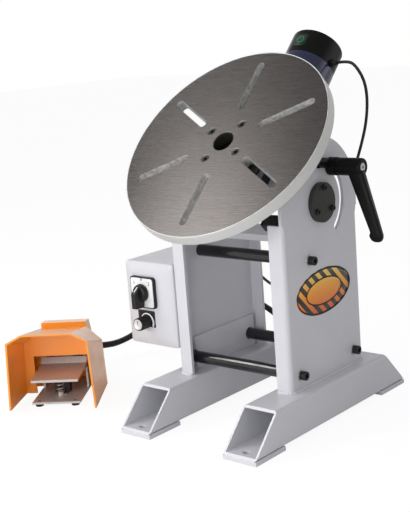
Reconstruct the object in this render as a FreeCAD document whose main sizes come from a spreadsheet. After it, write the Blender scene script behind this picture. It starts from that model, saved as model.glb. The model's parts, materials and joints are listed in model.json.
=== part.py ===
"""Tilting welding positioner: slotted turntable on a worm drive, control box and foot pedal.

Lengths are millimetres. X runs along the tilt axis to the lever side, Y to the rear, Z up.
The origin lies on the floor, midway between the four anchor holes.
"""
import FreeCAD
import Part
import Sketcher
import math
import os

V = FreeCAD.Vector
doc = FreeCAD.newDocument("WeldingPositioner")

# ---------------------------------------------------------------------------------------
# Driving dimensions
# ---------------------------------------------------------------------------------------
FRAME = [
    ("frame_span", 255, "over the outer faces of the side plates"),
    ("plate_sheet", 6, "thickness of the side plates"),
    ("plate_depth", 228, "front to rear of a side plate, and twice its top radius"),
    ("axis_rear", 20, "tilt axis behind the middle of the anchor holes"),
    ("axis_height", 390, "tilt axis above the floor"),
    ("flange_width", 30, "inward flange of a side plate"),
    ("flange_top", 367, "height where the flanges end"),
    ("bend_radius", 9, "outer radius of the bend"),
    ("foot_height", 75, "top of the feet"),
    ("foot_width", 70, "width of the square tube"),
    ("foot_wall", 4, "wall of the square tube"),
    ("foot_length", 470, "length along the floor"),
    ("foot_top_length", 340, "length along the top"),
    ("pad_thickness", 8, "welded pads under the feet"),
    ("pad_length", 82, "length of a pad"),
    ("anchor_length", 430, "front to rear between anchor holes"),
    ("anchor_width", 236, "across between anchor holes, and between the middles of the feet"),
    ("anchor_hole", 14, "diameter of an anchor hole"),
    ("stiffener_length", 178, "plate welded inside each side plate's base"),
    ("stiffener_height", 62, "its height"),
    ("stiffener_shift", 10, "its middle behind the tilt axis"),
    ("rod_diameter", 22, "tie rods"),
    ("rod_spread", 167, "between the two low tie rods"),
    ("rod_low", 101, "height of the low tie rods"),
    ("rod_high", 295, "height of the upper tie rod"),
    ("rod_forward", 40, "upper tie rod ahead of the tilt axis"),
    ("rod_screw", 10, "thread of the tie-rod screws"),
    ("rod_screw_depth", 22, "thread length inside a tie rod"),
    ("rod_head", 16, "head diameter of a tie-rod screw"),
    ("rod_washer", 21, "washer under a tie-rod screw"),
    ("washer_thickness", 2, "its thickness"),
]
PIVOT = [
    ("shaft_diameter", 30, "pivot shafts"),
    ("bush_wall", 4, "wall of the pivot bushes"),
    ("bush_collar", 50, "collar diameter of a bush"),
    ("running_gap", 0.05, "radial clearance of a running fit"),
    ("side_gap", 0.4, "end clearance between moving faces"),
    ("cap_diameter", 70, "pivot caps"),
    ("cap_thickness", 9, "their thickness"),
    ("cap_screw_circle", 52, "circle of the cap screws"),
    ("cap_screw_head", 10, "head diameter of a cap screw"),
    ("lock_radius", 68, "locking stud from the tilt axis"),
    ("lock_angle", 58, "locking stud above the rearward horizontal with the table at rest"),
    ("lock_stud_diameter", 12, "locking stud"),
    ("lock_slot_width", 13, "width of the curved slot"),
    ("tilt_back", 105, "tilt from rest until the table looks to the rear"),
    ("tilt_front", 45, "tilt from rest until the table stands upright"),
    ("table_lean", 45, "lean of the table at rest"),
]
HEAD = [
    ("yoke_gap", 8, "between a yoke arm and its side plate"),
    ("yoke_sheet", 8, "thickness of the yoke plates"),
    ("seat_height", 104, "top of the yoke plate above the tilt axis"),
    ("arm_width", 96, "width of a yoke arm"),
    ("yoke_edge", 66, "motor-side edge of the yoke plate from the tilt axis"),
    ("arm_reach", 50, "radius of a yoke arm round the tilt axis"),
    ("lug_radius", 20, "radius of the lug round the locking stud"),
    ("spindle_shift", 15, "spindle beyond the tilt axis, along the table"),
    ("face_height", 150, "table face above the tilt axis"),
    ("table_diameter", 400, "turntable"),
    ("table_thickness", 22, "its thickness"),
    ("table_bore", 38, "centre bore"),
    ("slot_width", 14, "clamping slots"),
    ("slot_inner", 70, "inner end of a clamping slot from the centre"),
    ("slot_outer", 175, "outer end of a clamping slot from the centre"),
    ("slot_count", 6, "clamping slots"),
    ("table_screw_circle", 86, "circle of the table screws"),
    ("table_screw", 8, "thread of the table screws"),
    ("counterbore", 15, "counterbore for a table screw"),
    ("counterbore_depth", 9.5, "its depth"),
    ("spindle_flange", 112, "flange under the table"),
    ("spindle_flange_thickness", 12, "its thickness"),
    ("spindle_hub", 44, "hub that passes the yoke plate"),
    ("spindle_shaft", 25, "spindle in its bearings"),
    ("spindle_bore", 14, "bore through the spindle"),
    ("spindle_nut_size", 40, "lock nut at the lower end"),
    ("gear_height", 70, "middle of the worm wheel above the tilt axis"),
    ("gear_distance", 30, "worm axis from the spindle axis"),
    ("gear_module", 1.4, "tooth module"),
    ("wheel_teeth", 30, "teeth of the worm wheel"),
    ("wheel_face", 12, "width of the worm wheel"),
    ("worm_core", 14, "root diameter of the worm"),
    ("worm_length", 34, "length of the thread"),
    ("worm_shaft", 12, "worm shaft in its bearings"),
    ("housing_radius", 37, "gearbox round the spindle"),
    ("housing_flange", 100, "flange of the gearbox under the yoke plate"),
    ("housing_flange_thickness", 9, "its thickness"),
    ("housing_low", 42, "underside of the gearbox above the tilt axis"),
    ("tunnel_radius", 22, "gearbox round the worm"),
    ("tunnel_back", 52, "worm tunnel on the side away from the motor"),
    ("tunnel_front", 59, "worm tunnel on the motor side"),
    ("cover_thickness", 6, "gearbox cover"),
    ("bearing_width", 13, "spindle bearings"),
    ("bearing_outer", 52, "spindle bearings"),
    ("worm_bearing_width", 10, "worm bearings"),
    ("worm_bearing_outer", 32, "worm bearings"),
    ("motor_diameter", 98, "motor"),
    ("motor_end", 295, "end of the motor from the tilt axis, along the table"),
    ("motor_cap_length", 49, "motor end cap"),
    ("bell_length", 30, "aluminium end bell of the motor"),
    ("motor_wall", 4, "wall of the motor tube"),
    ("rotor_diameter", 52, "motor rotor"),
    ("rail_reach", 88, "lower rail of the yoke from the tilt axis, along the table"),
    ("rail_depth", 22, "its depth"),
    ("rail_top", 20, "its top above the tilt axis"),
]
LEVER = [
    ("collar_diameter", 32, "collar against the side plate"),
    ("collar_length", 17, "its length"),
    ("hub_diameter", 31, "hub of the clamping lever"),
    ("hub_length", 49, "length of the hub"),
    ("insert_diameter", 20, "serrated steel insert"),
    ("lever_length", 132, "from the hub's middle to the tip"),
    ("lever_lean", 20, "outward lean of the handle"),
    ("lever_width", 27, "width of the handle at its root"),
    ("lever_tip_width", 20, "width of the handle near its tip"),
    ("lever_lift", 6, "lift that frees the serration"),
    ("lever_swing", 90, "turn that loosens the clamp"),
]
BOX = [
    ("box_width", 120, "control box, across"),
    ("box_height", 160, "control box"),
    ("box_depth", 180, "control box, front to rear"),
    ("box_low", 121, "underside of the control box above the floor"),
    ("box_front", 92, "front of the control box ahead of the origin"),
    ("box_sheet", 1.5, "its sheet"),
    ("box_corner", 5, "its corner radius"),
    ("switch_plate_size", 64, "square plate of the cam switch"),
    ("switch_plate_thickness", 8, "its thickness"),
    ("switch_across", 75.5, "switch from the side plate"),
    ("switch_up", 102, "switch above the underside of the box"),
    ("switch_travel", 45, "turn of the switch to each side"),
    ("speed_across", 75.5, "speed knob from the side plate"),
    ("speed_up", 44, "speed knob above the underside of the box"),
    ("label_rise", 6, "middle of the speed label above its knob"),
    ("speed_label_width", 43, "speed label"),
    ("speed_label_height", 32, "speed label"),
    ("speed_knob_diameter", 25, "speed knob"),
    ("speed_knob_length", 26, "its length"),
    ("speed_travel", 150, "turn of the speed knob to each side"),
    ("gland_size", 20, "diameter of a cable gland"),
    ("gland_length", 22, "its length outside the box"),
    ("gland_row", 39, "conduit and mains glands above the underside of the box"),
    ("gland_spread", 30, "between the conduit gland and the mains gland"),
    ("gland_side", 37.5, "mains gland and motor-cable gland from the side plate"),
    ("motor_gland_row", 114, "motor-cable gland above the underside of the box"),
    ("board_gap", 8, "height of the stand-offs of the speed board"),
]
PEDAL = [
    ("pedal_side", 350, "pedal to the left of the origin"),
    ("pedal_ahead", 222.6, "pedal ahead of the origin"),
    ("pedal_turn", 34.3, "turn of the pedal about the vertical"),
    ("hood_width", 172, "hood at the floor"),
    ("hood_shoulder", 160, "hood at its shoulders"),
    ("hood_shoulder_height", 139, "shoulders at the front"),
    ("hood_top_width", 97, "flat of the hood's top"),
    ("hood_height", 155, "top of the hood at the front"),
    ("hood_length", 145, "front of the hood to its rear wall"),
    ("hood_drop", 27, "fall of the top from front to rear"),
    ("hood_lift", 5, "lower edge of the hood above the floor"),
    ("hood_wall", 3.5, "wall of the hood"),
    ("screen_back", 100, "inner screen behind the hood's front edge"),
    ("screen_opening", 113, "width of the opening in the screen"),
    ("screen_opening_top", 82, "top of the opening in the screen"),
    ("rear_width", 92, "switch housing behind the hood"),
    ("rear_length", 42, "its length"),
    ("base_width", 96, "pedal base plate"),
    ("base_front", 28, "front of the base plate behind the hood's front edge"),
    ("base_thickness", 4, "base plate"),
    ("rubber_height", 6, "rubber feet under the pedal"),
    ("rubber_diameter", 16, "rubber feet"),
    ("treadle_width", 94, "treadle"),
    ("treadle_front", 30, "front of the treadle behind the hood's front edge"),
    ("treadle_height", 54, "top of the treadle at its front"),
    ("treadle_crease", 114, "bend of the treadle behind the hood's front edge"),
    ("treadle_rise", 7, "rise of the treadle from its front to its bend"),
    ("treadle_sheet", 5, "treadle plate"),
    ("treadle_turn", 8, "travel of the treadle"),
    ("pin_back", 126, "pedal pin behind the hood's front edge"),
    ("pin_height", 46, "pedal pin above the floor"),
    ("pin_diameter", 8, "pedal pin"),
    ("plunger_diameter", 6, "plunger of the limit switch"),
    ("plunger_back", 92, "plunger behind the hood's front edge"),
    ("spring_wire", 1.8, "pedal return spring"),
    ("spring_diameter", 16, "mean diameter of the return spring"),
    ("spring_back", 70, "return spring behind the hood's front edge"),
    ("spring_turns", 5, "turns of the return spring"),
    ("conduit_across", 15, "conduit gland from the pedal's middle"),
    ("conduit_up", 60, "conduit gland above the floor"),
]
CORDS = [
    ("conduit_diameter", 14, "corrugated pedal conduit"),
    ("motor_cable_diameter", 5.5, "motor cable"),
    ("lead_diameter", 12, "rubber mains lead"),
    ("coil_radius", 60, "mean radius of the put-away mains lead"),
    ("coil_side", 14, "middle of the coil to the left of the origin"),
    ("coil_rear", 220, "middle of the coil behind the origin"),
    ("coil_start", 125, "where the lead joins the coil, from the right, seen from above"),
    ("coil_end", 165, "where it leaves the coil for the plug"),
    ("plug_diameter", 30, "mains plug"),
]

sheet = doc.addObject("Spreadsheet::Sheet", "Sizes")


class Size:
    """A length or an angle: its number, and the formula that ties it to the sheet."""

    def __init__(self, number, formula):
        self.number = number
        self.formula = formula

    def __float__(self):
        return float(self.number)

    def __add__(self, other):
        other = as_size(other)
        return Size(self.number + other.number, f"({self.formula} + {other.formula})")

    def __radd__(self, other):
        return as_size(other) + self

    def __sub__(self, other):
        other = as_size(other)
        return Size(self.number - other.number, f"({self.formula} - {other.formula})")

    def __rsub__(self, other):
        return as_size(other) - self

    def __mul__(self, other):
        other = as_size(other)
        return Size(self.number * other.number, f"({self.formula} * {other.formula})")

    def __rmul__(self, other):
        return as_size(other) * self

    def __truediv__(self, other):
        other = as_size(other)
        return Size(self.number / other.number, f"({self.formula} / {other.formula})")

    def __neg__(self):
        return as_size(-1) * self


def as_size(value):
    return value if isinstance(value, Size) else Size(float(value), f"({float(value)!r})")


def sine(angle):
    angle = as_size(angle)
    return Size(math.sin(math.radians(angle.number)), f"sin({angle.formula} * 1deg)")


def cosine(angle):
    return sine(90 - as_size(angle))


class Sheet:
    """The sizes by name, as attributes."""


S = Sheet()
for row, (name, number, note) in enumerate(FRAME + PIVOT + HEAD + LEVER + BOX + PEDAL + CORDS, 1):
    sheet.set(f"A{row}", note)
    sheet.set(f"B{row}", str(number))
    sheet.setAlias(f"B{row}", name)
    setattr(S, name, Size(float(number), f"Sizes.{name}"))
doc.recompute()


# ---------------------------------------------------------------------------------------
# Drawing tools
# ---------------------------------------------------------------------------------------
ALONG = {
    "X": FreeCAD.Rotation(V(0, 1, 0), 90),
    "Y": FreeCAD.Rotation(V(1, 0, 0), -90),
    "Z": FreeCAD.Rotation(),
}
PARTS = []
count = 0


def new(kind, label=None):
    """A document object with a name of its own."""
    global count
    count += 1
    return doc.addObject(kind, label or f"step{count}")


def bind(item, path, value):
    item.setExpression(path, as_size(value).formula)


def base(item, x, y, z):
    for letter, value in zip("xyz", (x, y, z)):
        bind(item, f"Placement.Base.{letter}", value)


def block(x, y, z, label=None):
    """Box between pairs of limits."""
    item = new("Part::Box", label)
    base(item, x[0], y[0], z[0])
    for path, (low, high) in zip(("Length", "Width", "Height"), (x, y, z)):
        bind(item, path, as_size(high) - low)
    return item


def rod(axis, at, low, high, radius, label=None):
    """Round bar along an axis; `at` holds its two other coordinates in X, Y, Z order."""
    item = new("Part::Cylinder", label)
    item.Placement = FreeCAD.Placement(V(), ALONG[axis])
    spot = dict(zip([letter for letter in "XYZ" if letter != axis], at))
    spot[axis] = low
    base(item, spot["X"], spot["Y"], spot["Z"])
    bind(item, "Height", as_size(high) - low)
    bind(item, "Radius", radius)
    return item


def cone(axis, at, low, high, first, last):
    """Tapered bar along an axis, from the radius `first` to the radius `last`."""
    item = new("Part::Cone")
    item.Placement = FreeCAD.Placement(V(), ALONG[axis])
    spot = dict(zip([letter for letter in "XYZ" if letter != axis], at))
    spot[axis] = low
    base(item, spot["X"], spot["Y"], spot["Z"])
    bind(item, "Height", as_size(high) - low)
    bind(item, "Radius1", first)
    bind(item, "Radius2", last)
    return item


def hexagon(axis, at, low, high, across):
    """Six-sided bar, given the width across its flats."""
    item = new("Part::Prism")
    item.Polygon = 6
    item.Placement = FreeCAD.Placement(V(), ALONG[axis])
    spot = dict(zip([letter for letter in "XYZ" if letter != axis], at))
    spot[axis] = low
    base(item, spot["X"], spot["Y"], spot["Z"])
    bind(item, "Height", as_size(high) - low)
    bind(item, "Circumradius", as_size(across) / (2 * cosine(30)))
    return item


def join(items, label=None):
    item = new("Part::MultiFuse", label)
    item.Shapes = items
    item.Refine = True
    return item


def less(body, tools, label=None):
    item = new("Part::Cut", label)
    item.Base = body
    item.Tool = tools[0] if len(tools) == 1 else join(tools)
    return item


def common(first, second, label=None):
    item = new("Part::Common", label)
    item.Base = first
    item.Tool = second
    return item


def group(items, label):
    """Separate solids that share one name."""
    item = new("Part::Compound", label)
    item.Links = items
    return item


def ring(axis, at, low, high, outer, inner, label=None):
    return less(rod(axis, at, low, high, outer), [rod(axis, at, low, high, inner)], label)


def solid(label, shape):
    """A piece whose shape is worked out in code."""
    item = new("Part::Feature", label)
    item.Shape = Part.makeCompound([shape])
    return item


def body(label):
    return new("PartDesign::Body", label)


def sketch(owner, role, offset=0):
    """Sketch on one of the body's own origin planes, raised by an offset."""
    drawing = owner.newObject("Sketcher::SketchObject", f"{owner.Name}_sketch")
    plane = next(item for item in owner.Origin.OriginFeatures if item.Role == role)
    drawing.AttachmentSupport = [(plane, "")]
    drawing.MapMode = "FlatFace"
    bind(drawing, "AttachmentOffset.Base.z", offset)
    return drawing


def fix(drawing, kind, item, point, value):
    """Constraint from the origin to a point, tied to the sheet."""
    index = drawing.addConstraint(Sketcher.Constraint(kind, -1, 1, item, point, float(value)))
    bind(drawing, f"Constraints[{index}]", value)


def outline(drawing, corners):
    """Closed polygon through the corners."""
    spots = [V(float(x), float(y), 0) for x, y in corners]
    first = drawing.GeometryCount
    total = len(spots)
    for index, spot in enumerate(spots):
        drawing.addGeometry(Part.LineSegment(spot, spots[(index + 1) % total]), False)
    for index, (x, y) in enumerate(corners):
        line = first + index
        drawing.addConstraint(Sketcher.Constraint("Coincident", line, 2, first + (index + 1) % total, 1))
        fix(drawing, "DistanceX", line, 1, x)
        fix(drawing, "DistanceY", line, 1, y)
    return drawing


def circle(drawing, x, y, radius):
    item = drawing.addGeometry(Part.Circle(V(float(x), float(y), 0), V(0, 0, 1), float(radius)), False)
    index = drawing.addConstraint(Sketcher.Constraint("Radius", item, float(radius)))
    bind(drawing, f"Constraints[{index}]", radius)
    fix(drawing, "DistanceX", item, 3, x)
    fix(drawing, "DistanceY", item, 3, y)
    return drawing


def long_hole(drawing, near, far, y, radius):
    """Straight slot along the sketch's own X, with round ends."""
    left = V(float(near), float(y), 0)
    right = V(float(far), float(y), 0)
    up = V(0, float(radius), 0)
    quarter = math.pi / 2
    top = drawing.addGeometry(Part.LineSegment(right + up, left + up), False)
    start = drawing.addGeometry(
        Part.ArcOfCircle(Part.Circle(left, V(0, 0, 1), float(radius)), quarter, 3 * quarter), False)
    low = drawing.addGeometry(Part.LineSegment(left - up, right - up), False)
    end = drawing.addGeometry(
        Part.ArcOfCircle(Part.Circle(right, V(0, 0, 1), float(radius)), -quarter, quarter), False)
    for first, second in ((top, start), (start, low), (low, end), (end, top)):
        drawing.addConstraint(Sketcher.Constraint("Tangent", first, 2, second, 1))
    drawing.addConstraint(Sketcher.Constraint("Equal", start, end))
    index = drawing.addConstraint(Sketcher.Constraint("Radius", start, float(radius)))
    bind(drawing, f"Constraints[{index}]", radius)
    fix(drawing, "DistanceX", start, 3, near)
    fix(drawing, "DistanceY", start, 3, y)
    fix(drawing, "DistanceX", end, 3, far)
    fix(drawing, "DistanceY", end, 3, y)
    return drawing


def pad(owner, drawing, height, flip=False):
    item = owner.newObject("PartDesign::Pad", f"{owner.Name}_pad")
    item.Profile = drawing
    item.Reversed = flip
    bind(item, "Length", height)
    return item


def pocket(owner, drawing, depth, flip=False):
    item = owner.newObject("PartDesign::Pocket", f"{owner.Name}_pocket")
    item.Profile = drawing
    item.Reversed = flip
    bind(item, "Length", depth)
    return item


def turn(owner, drawing, kind="Revolution"):
    """Solid of revolution, or a turned groove, round the sketch's vertical axis."""
    item = owner.newObject(f"PartDesign::{kind}", f"{owner.Name}_turn")
    item.Profile = drawing
    item.ReferenceAxis = (drawing, ["V_Axis"])
    item.Angle = 360
    return item


def repeat(owner, features, number, role="Z_Axis"):
    """Polar pattern about one of the body's own axes."""
    item = owner.newObject("PartDesign::PolarPattern", f"{owner.Name}_pattern")
    item.Originals = features
    axis = next(part for part in owner.Origin.OriginFeatures if part.Role == role)
    item.Axis = (axis, [""])
    item.Angle = 360
    item.Occurrences = int(float(number))
    bind(item, "Occurrences", number)
    owner.Tip = item
    return item


def soften(owner, feature, radius, wanted, kind="Fillet"):
    """Fillet or chamfer on the feature's edges that pass the test."""
    doc.recompute()
    names = [f"Edge{index}" for index, edge in enumerate(feature.Shape.Edges, 1) if wanted(edge)]
    item = owner.newObject(f"PartDesign::{kind}", f"{owner.Name}_soft")
    item.Base = (feature, names)
    bind(item, "Radius" if kind == "Fillet" else "Size", radius)
    return item


def upright(edge):
    """True for a straight vertical edge."""
    return edge.Curve.TypeId == "Part::GeomLine" and abs(edge.Curve.Direction.z) > 0.999


def place(item, where):
    """Put a piece drawn in the frame of the head, spindle, lever or pedal in its place."""
    if where == "head":
        item.Placement = FreeCAD.Placement(V(), FreeCAD.Rotation(V(1, 0, 0), float(S.table_lean)))
        base(item, 0, S.axis_rear, S.axis_height)
        bind(item, "Placement.Rotation.Angle", S.table_lean)
    if where == "pedal":
        item.Placement = FreeCAD.Placement(V(), FreeCAD.Rotation(V(0, 0, 1), float(S.pedal_turn)))
        base(item, -S.pedal_side, -S.pedal_ahead, 0)
        bind(item, "Placement.Rotation.Angle", S.pedal_turn)
    if where == "spindle":
        item.Placement = FreeCAD.Placement(V(), FreeCAD.Rotation(V(1, 0, 0), float(S.table_lean)))
        base(item, 0, S.axis_rear + S.spindle_shift * cosine(S.table_lean),
             S.axis_height + S.spindle_shift * sine(S.table_lean))
        bind(item, "Placement.Rotation.Angle", S.table_lean)
    if where == "lever":
        base(item, 0, S.axis_rear + S.lock_radius * cosine(S.lock_angle),
             S.axis_height + S.lock_radius * sine(S.lock_angle))
    return item


def keep(item, where=None):
    """Put a finished piece in its place and on the list of pieces."""
    PARTS.append(place(item, where))
    return item


# ---------------------------------------------------------------------------------------
# Places that several pieces share
# ---------------------------------------------------------------------------------------
plate_out = S.frame_span / 2
plate_in = plate_out - S.plate_sheet
plate_front = S.axis_rear - S.plate_depth / 2
plate_rear = S.axis_rear + S.plate_depth / 2
foot_middle = S.anchor_width / 2
rod_spots = [
    (S.axis_rear - S.rod_forward, S.rod_high),
    (S.axis_rear - S.rod_spread / 2, S.rod_low),
    (S.axis_rear + S.rod_spread / 2, S.rod_low),
]
bush_radius = S.shaft_diameter / 2 + S.bush_wall
arm_out = plate_in - S.yoke_gap
arm_in = arm_out - S.yoke_sheet
table_low = S.face_height - S.table_thickness
stud_along = S.lock_radius * cosine(S.lock_angle - S.table_lean)
stud_up = S.lock_radius * sine(S.lock_angle - S.table_lean)
stud_rear = S.axis_rear + S.lock_radius * cosine(S.lock_angle)
stud_height = S.axis_height + S.lock_radius * sine(S.lock_angle)
box_side = -plate_out
box_back = S.box_depth - S.box_front
box_top = S.box_low + S.box_height
box_bolt_spots = [
    (rear, height) for rear in (plate_front + 54, plate_front + 134) for height in (S.box_low + 30, box_top - 35)
]
box_bolt_radius = 3


# ---------------------------------------------------------------------------------------
# Base: feet, side plates, tie rods
# ---------------------------------------------------------------------------------------
def foot(label, side):
    """Square tube with sloping open ends; the cut follows from its two lengths."""
    item = body(label)
    middle = side * foot_middle
    drawing = sketch(item, "YZ_Plane", middle - S.foot_width / 2)
    outline(drawing, [
        (-S.foot_length / 2, S.pad_thickness),
        (S.foot_length / 2, S.pad_thickness),
        (S.foot_top_length / 2, S.foot_height),
        (-S.foot_top_length / 2, S.foot_height),
    ])
    tube = pad(item, drawing, S.foot_width)
    soften(item, tube, S.foot_wall * 1.5, lambda edge: abs(edge.Curve.Direction.y) > 0.99)
    inside = sketch(item, "XZ_Plane", S.foot_length / 2)
    half = S.foot_width / 2 - S.foot_wall
    outline(inside, [
        (middle - half, S.pad_thickness + S.foot_wall),
        (middle + half, S.pad_thickness + S.foot_wall),
        (middle + half, S.foot_height - S.foot_wall),
        (middle - half, S.foot_height - S.foot_wall),
    ])
    pocket(item, inside, S.foot_length)
    holes = sketch(item, "XY_Plane", S.pad_thickness + S.foot_wall)
    for end in (-1, 1):
        circle(holes, middle, end * S.anchor_length / 2, S.anchor_hole / 2)
    pocket(item, holes, S.foot_wall)
    return keep(item)


foot("left_foot", -1)
foot("right_foot", 1)

pads = []
for side in (-1, 1):
    for end in (-1, 1):
        outer = end * S.foot_length / 2
        inner = end * (S.foot_length / 2 - S.pad_length)
        plate = block(
            (side * foot_middle - S.foot_width / 2, side * foot_middle + S.foot_width / 2),
            (outer, inner) if end < 0 else (inner, outer),
            (0, S.pad_thickness))
        hole = rod("Z", (side * foot_middle, end * S.anchor_length / 2), 0, S.pad_thickness,
                   S.anchor_hole / 2)
        pads.append(less(plate, [hole]))
keep(group(pads, "foot_pads"))


def side_plate(label, side, bolts=()):
    """Channel of bent sheet up to the flange top, then a flat plate with a round head."""
    item = body(label)
    outer = side * plate_out
    inner = side * plate_in
    tip = side * (plate_out - S.flange_width)
    channel = sketch(item, "XY_Plane", S.foot_height)
    outline(channel, [
        (outer, plate_front), (outer, plate_rear), (tip, plate_rear),
        (tip, plate_rear - S.plate_sheet), (inner, plate_rear - S.plate_sheet),
        (inner, plate_front + S.plate_sheet), (tip, plate_front + S.plate_sheet), (tip, plate_front),
    ])
    bent = pad(item, channel, S.flange_top - S.foot_height)

    def corner(x, inset):
        return lambda edge: (upright(edge) and abs(edge.Vertexes[0].X - float(x)) < 0.01
                             and min(abs(edge.Vertexes[0].Y - float(plate_front + inset)),
                                     abs(edge.Vertexes[0].Y - float(plate_rear - inset))) < 0.01)

    bent = soften(item, bent, S.bend_radius, corner(outer, 0))
    soften(item, bent, S.bend_radius - S.plate_sheet, corner(inner, S.plate_sheet))
    start = plate_in if side > 0 else -plate_out
    web = sketch(item, "YZ_Plane", start)
    outline(web, [
        (plate_front, S.flange_top), (plate_rear, S.flange_top),
        (plate_rear, S.axis_height), (plate_front, S.axis_height),
    ])
    pad(item, web, S.plate_sheet)
    head = sketch(item, "YZ_Plane", start)
    circle(head, S.axis_rear, S.axis_height, S.plate_depth / 2)
    pad(item, head, S.plate_sheet)
    holes = sketch(item, "YZ_Plane", start)
    circle(holes, S.axis_rear, S.axis_height, bush_radius)
    for rear, height in rod_spots:
        circle(holes, rear, height, S.rod_screw / 2)
    for rear, height in bolts:
        circle(holes, rear, height, box_bolt_radius)
    pocket(item, holes, S.plate_sheet, flip=True)
    return item


sinks = [cone("X", spot, -plate_in - 3.5, -plate_in, box_bolt_radius, 6.5) for spot in box_bolt_spots]
keep(less(side_plate("left_plate_blank", -1, box_bolt_spots), sinks, "left_side_plate"))

# The lock slot is a ring sector about the tilt axis, closed by a round at each end.
plain_plate = side_plate("right_plate_blank", 1)
slot_low = S.lock_angle - S.tilt_back
slot_high = S.lock_angle + S.tilt_front
sector = ring("Z", (0, 0), 0, 2 * S.plate_sheet, S.lock_radius + S.lock_slot_width / 2,
              S.lock_radius - S.lock_slot_width / 2)
for wheel in (sector.Base, sector.Tool):
    bind(wheel, "Angle", slot_high - slot_low)
sector.Placement = FreeCAD.Placement(
    V(), FreeCAD.Rotation(V(1, 0, 0), float(slot_low)) * FreeCAD.Rotation(V(1, 1, 1), 120))
base(sector, plate_in - S.plate_sheet / 2, S.axis_rear, S.axis_height)
slot_ends = [
    rod("X", (S.axis_rear + S.lock_radius * cosine(angle), S.axis_height + S.lock_radius * sine(angle)),
        plate_in - S.plate_sheet / 2, plate_out + S.plate_sheet / 2, S.lock_slot_width / 2)
    for angle in (slot_low, slot_high)
]
keep(less(plain_plate, [sector] + slot_ends, "right_side_plate"))

stiffeners = []
for side in (-1, 1):
    low, high = sorted((side * plate_in, side * (plate_in - S.plate_sheet)), key=float)
    middle = S.axis_rear + S.stiffener_shift
    stiffeners.append(block(
        (low, high), (middle - S.stiffener_length / 2, middle + S.stiffener_length / 2),
        (S.foot_height, S.foot_height + S.stiffener_height)))

bars = []
screws = []
washers = []
for rear, height in rod_spots:
    bar = rod("X", (rear, height), -plate_in, plate_in, S.rod_diameter / 2)
    drilled = [
        rod("X", (rear, height), plate_in - S.rod_screw_depth, plate_in, S.rod_screw / 2),
        rod("X", (rear, height), -plate_in, S.rod_screw_depth - plate_in, S.rod_screw / 2),
    ]
    bars.append(less(bar, drilled))
    for side in (-1, 1):
        seat = plate_out + S.washer_thickness
        spans = {
            "shank": (plate_in - S.rod_screw_depth, seat),
            "head": (seat, seat + S.rod_screw),
            "socket": (seat + S.rod_screw / 2, seat + S.rod_screw),
            "washer": (plate_out, seat),
        }
        if side < 0:
            spans = {name: (-high, -low) for name, (low, high) in spans.items()}
        shank = rod("X", (rear, height), *spans["shank"], S.rod_screw / 2)
        head = rod("X", (rear, height), *spans["head"], S.rod_head / 2)
        socket = hexagon("X", (rear, height), *spans["socket"], S.rod_screw * 0.8)
        screws.append(less(join([shank, head]), [socket]))
        washers.append(ring("X", (rear, height), *spans["washer"], S.rod_washer / 2, S.rod_screw / 2))
rod_room = [rod("X", (rear, height), -plate_in, plate_in, S.rod_diameter / 2 + 1)
            for rear, height in rod_spots[1:]]
keep(less(group(stiffeners, "stiffener_blanks"), rod_room, "base_stiffeners"))
keep(group(bars, "tie_rods"))
keep(group(screws, "rod_screws"))
keep(group(washers, "rod_washers"))

# Pivots: collared bushes in the plates, caps outside, three screws in each cap.
bushes = []
caps = []
cap_screws = []
cap_out = plate_out + S.cap_thickness
bush_end = plate_out + S.cap_thickness / 2
for side in (-1, 1):
    def span(low, high, side=side):
        return (low, high) if side > 0 else (-high, -low)

    axis = (S.axis_rear, S.axis_height)
    bore = S.shaft_diameter / 2 + S.running_gap
    sleeve = rod("X", axis, *span(plate_in, bush_end), bush_radius)
    collar = rod("X", axis, *span(arm_out + S.side_gap, plate_in), S.bush_collar / 2)
    bushes.append(less(join([sleeve, collar]), [rod("X", axis, *span(arm_out, cap_out), bore)]))
    cap = rod("X", axis, *span(plate_out, cap_out), S.cap_diameter / 2)
    room = rod("X", axis, *span(plate_out, bush_end), bush_radius)
    cuts = [room]
    for index in range(3):
        angle = 90 + 120 * index
        spot = (S.axis_rear + S.cap_screw_circle / 2 * cosine(angle),
                S.axis_height + S.cap_screw_circle / 2 * sine(angle))
        cuts.append(rod("X", spot, *span(plate_out, cap_out), S.cap_screw_head / 4))
        screw = join([
            rod("X", spot, *span(plate_out, cap_out), S.cap_screw_head / 4),
            rod("X", spot, *span(cap_out, cap_out + S.cap_screw_head / 2), S.cap_screw_head / 2),
        ])
        socket = hexagon("X", spot, *span(cap_out + S.cap_screw_head / 5, cap_out + S.cap_screw_head / 2),
                         S.cap_screw_head / 2)
        cap_screws.append(less(screw, [socket]))
    caps.append(less(cap, cuts))
keep(group(bushes, "pivot_bushes"))
keep(group(caps, "pivot_caps"))
keep(group(cap_screws, "cap_screws"))


# ---------------------------------------------------------------------------------------
# Tilting head, in its own frame: Y along the table, Z out through the table
# ---------------------------------------------------------------------------------------
half_arm = S.arm_width / 2
plate_under = S.seat_height - S.yoke_sheet
rail_tip = -S.rail_reach
yoke = [
    block((-arm_out, arm_out), (-half_arm, S.yoke_edge), (plate_under, S.seat_height)),
    block((-arm_in, arm_in), (rail_tip, rail_tip + S.rail_depth), (S.rail_top - S.yoke_sheet / 2, S.rail_top)),
    block((-arm_in, arm_in), (rail_tip, rail_tip + S.yoke_sheet / 2), (0, S.rail_top)),
]
for low, high in ((-arm_out, -arm_in), (arm_in, arm_out)):
    yoke.append(block((low, high), (-half_arm, half_arm), (0, plate_under)))
    yoke.append(rod("X", (0, 0), low, high, S.arm_reach))
    yoke.append(block((low, high), (rail_tip, 0), (0, S.rail_top)))
yoke.append(rod("X", (stud_along, stud_up), arm_in, arm_out, S.lug_radius))
yoke.append(block((arm_in, arm_out), (0, stud_along), (stud_up - S.lug_radius, stud_up + S.lug_radius)))
shaft_radius = S.shaft_diameter / 2
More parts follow.
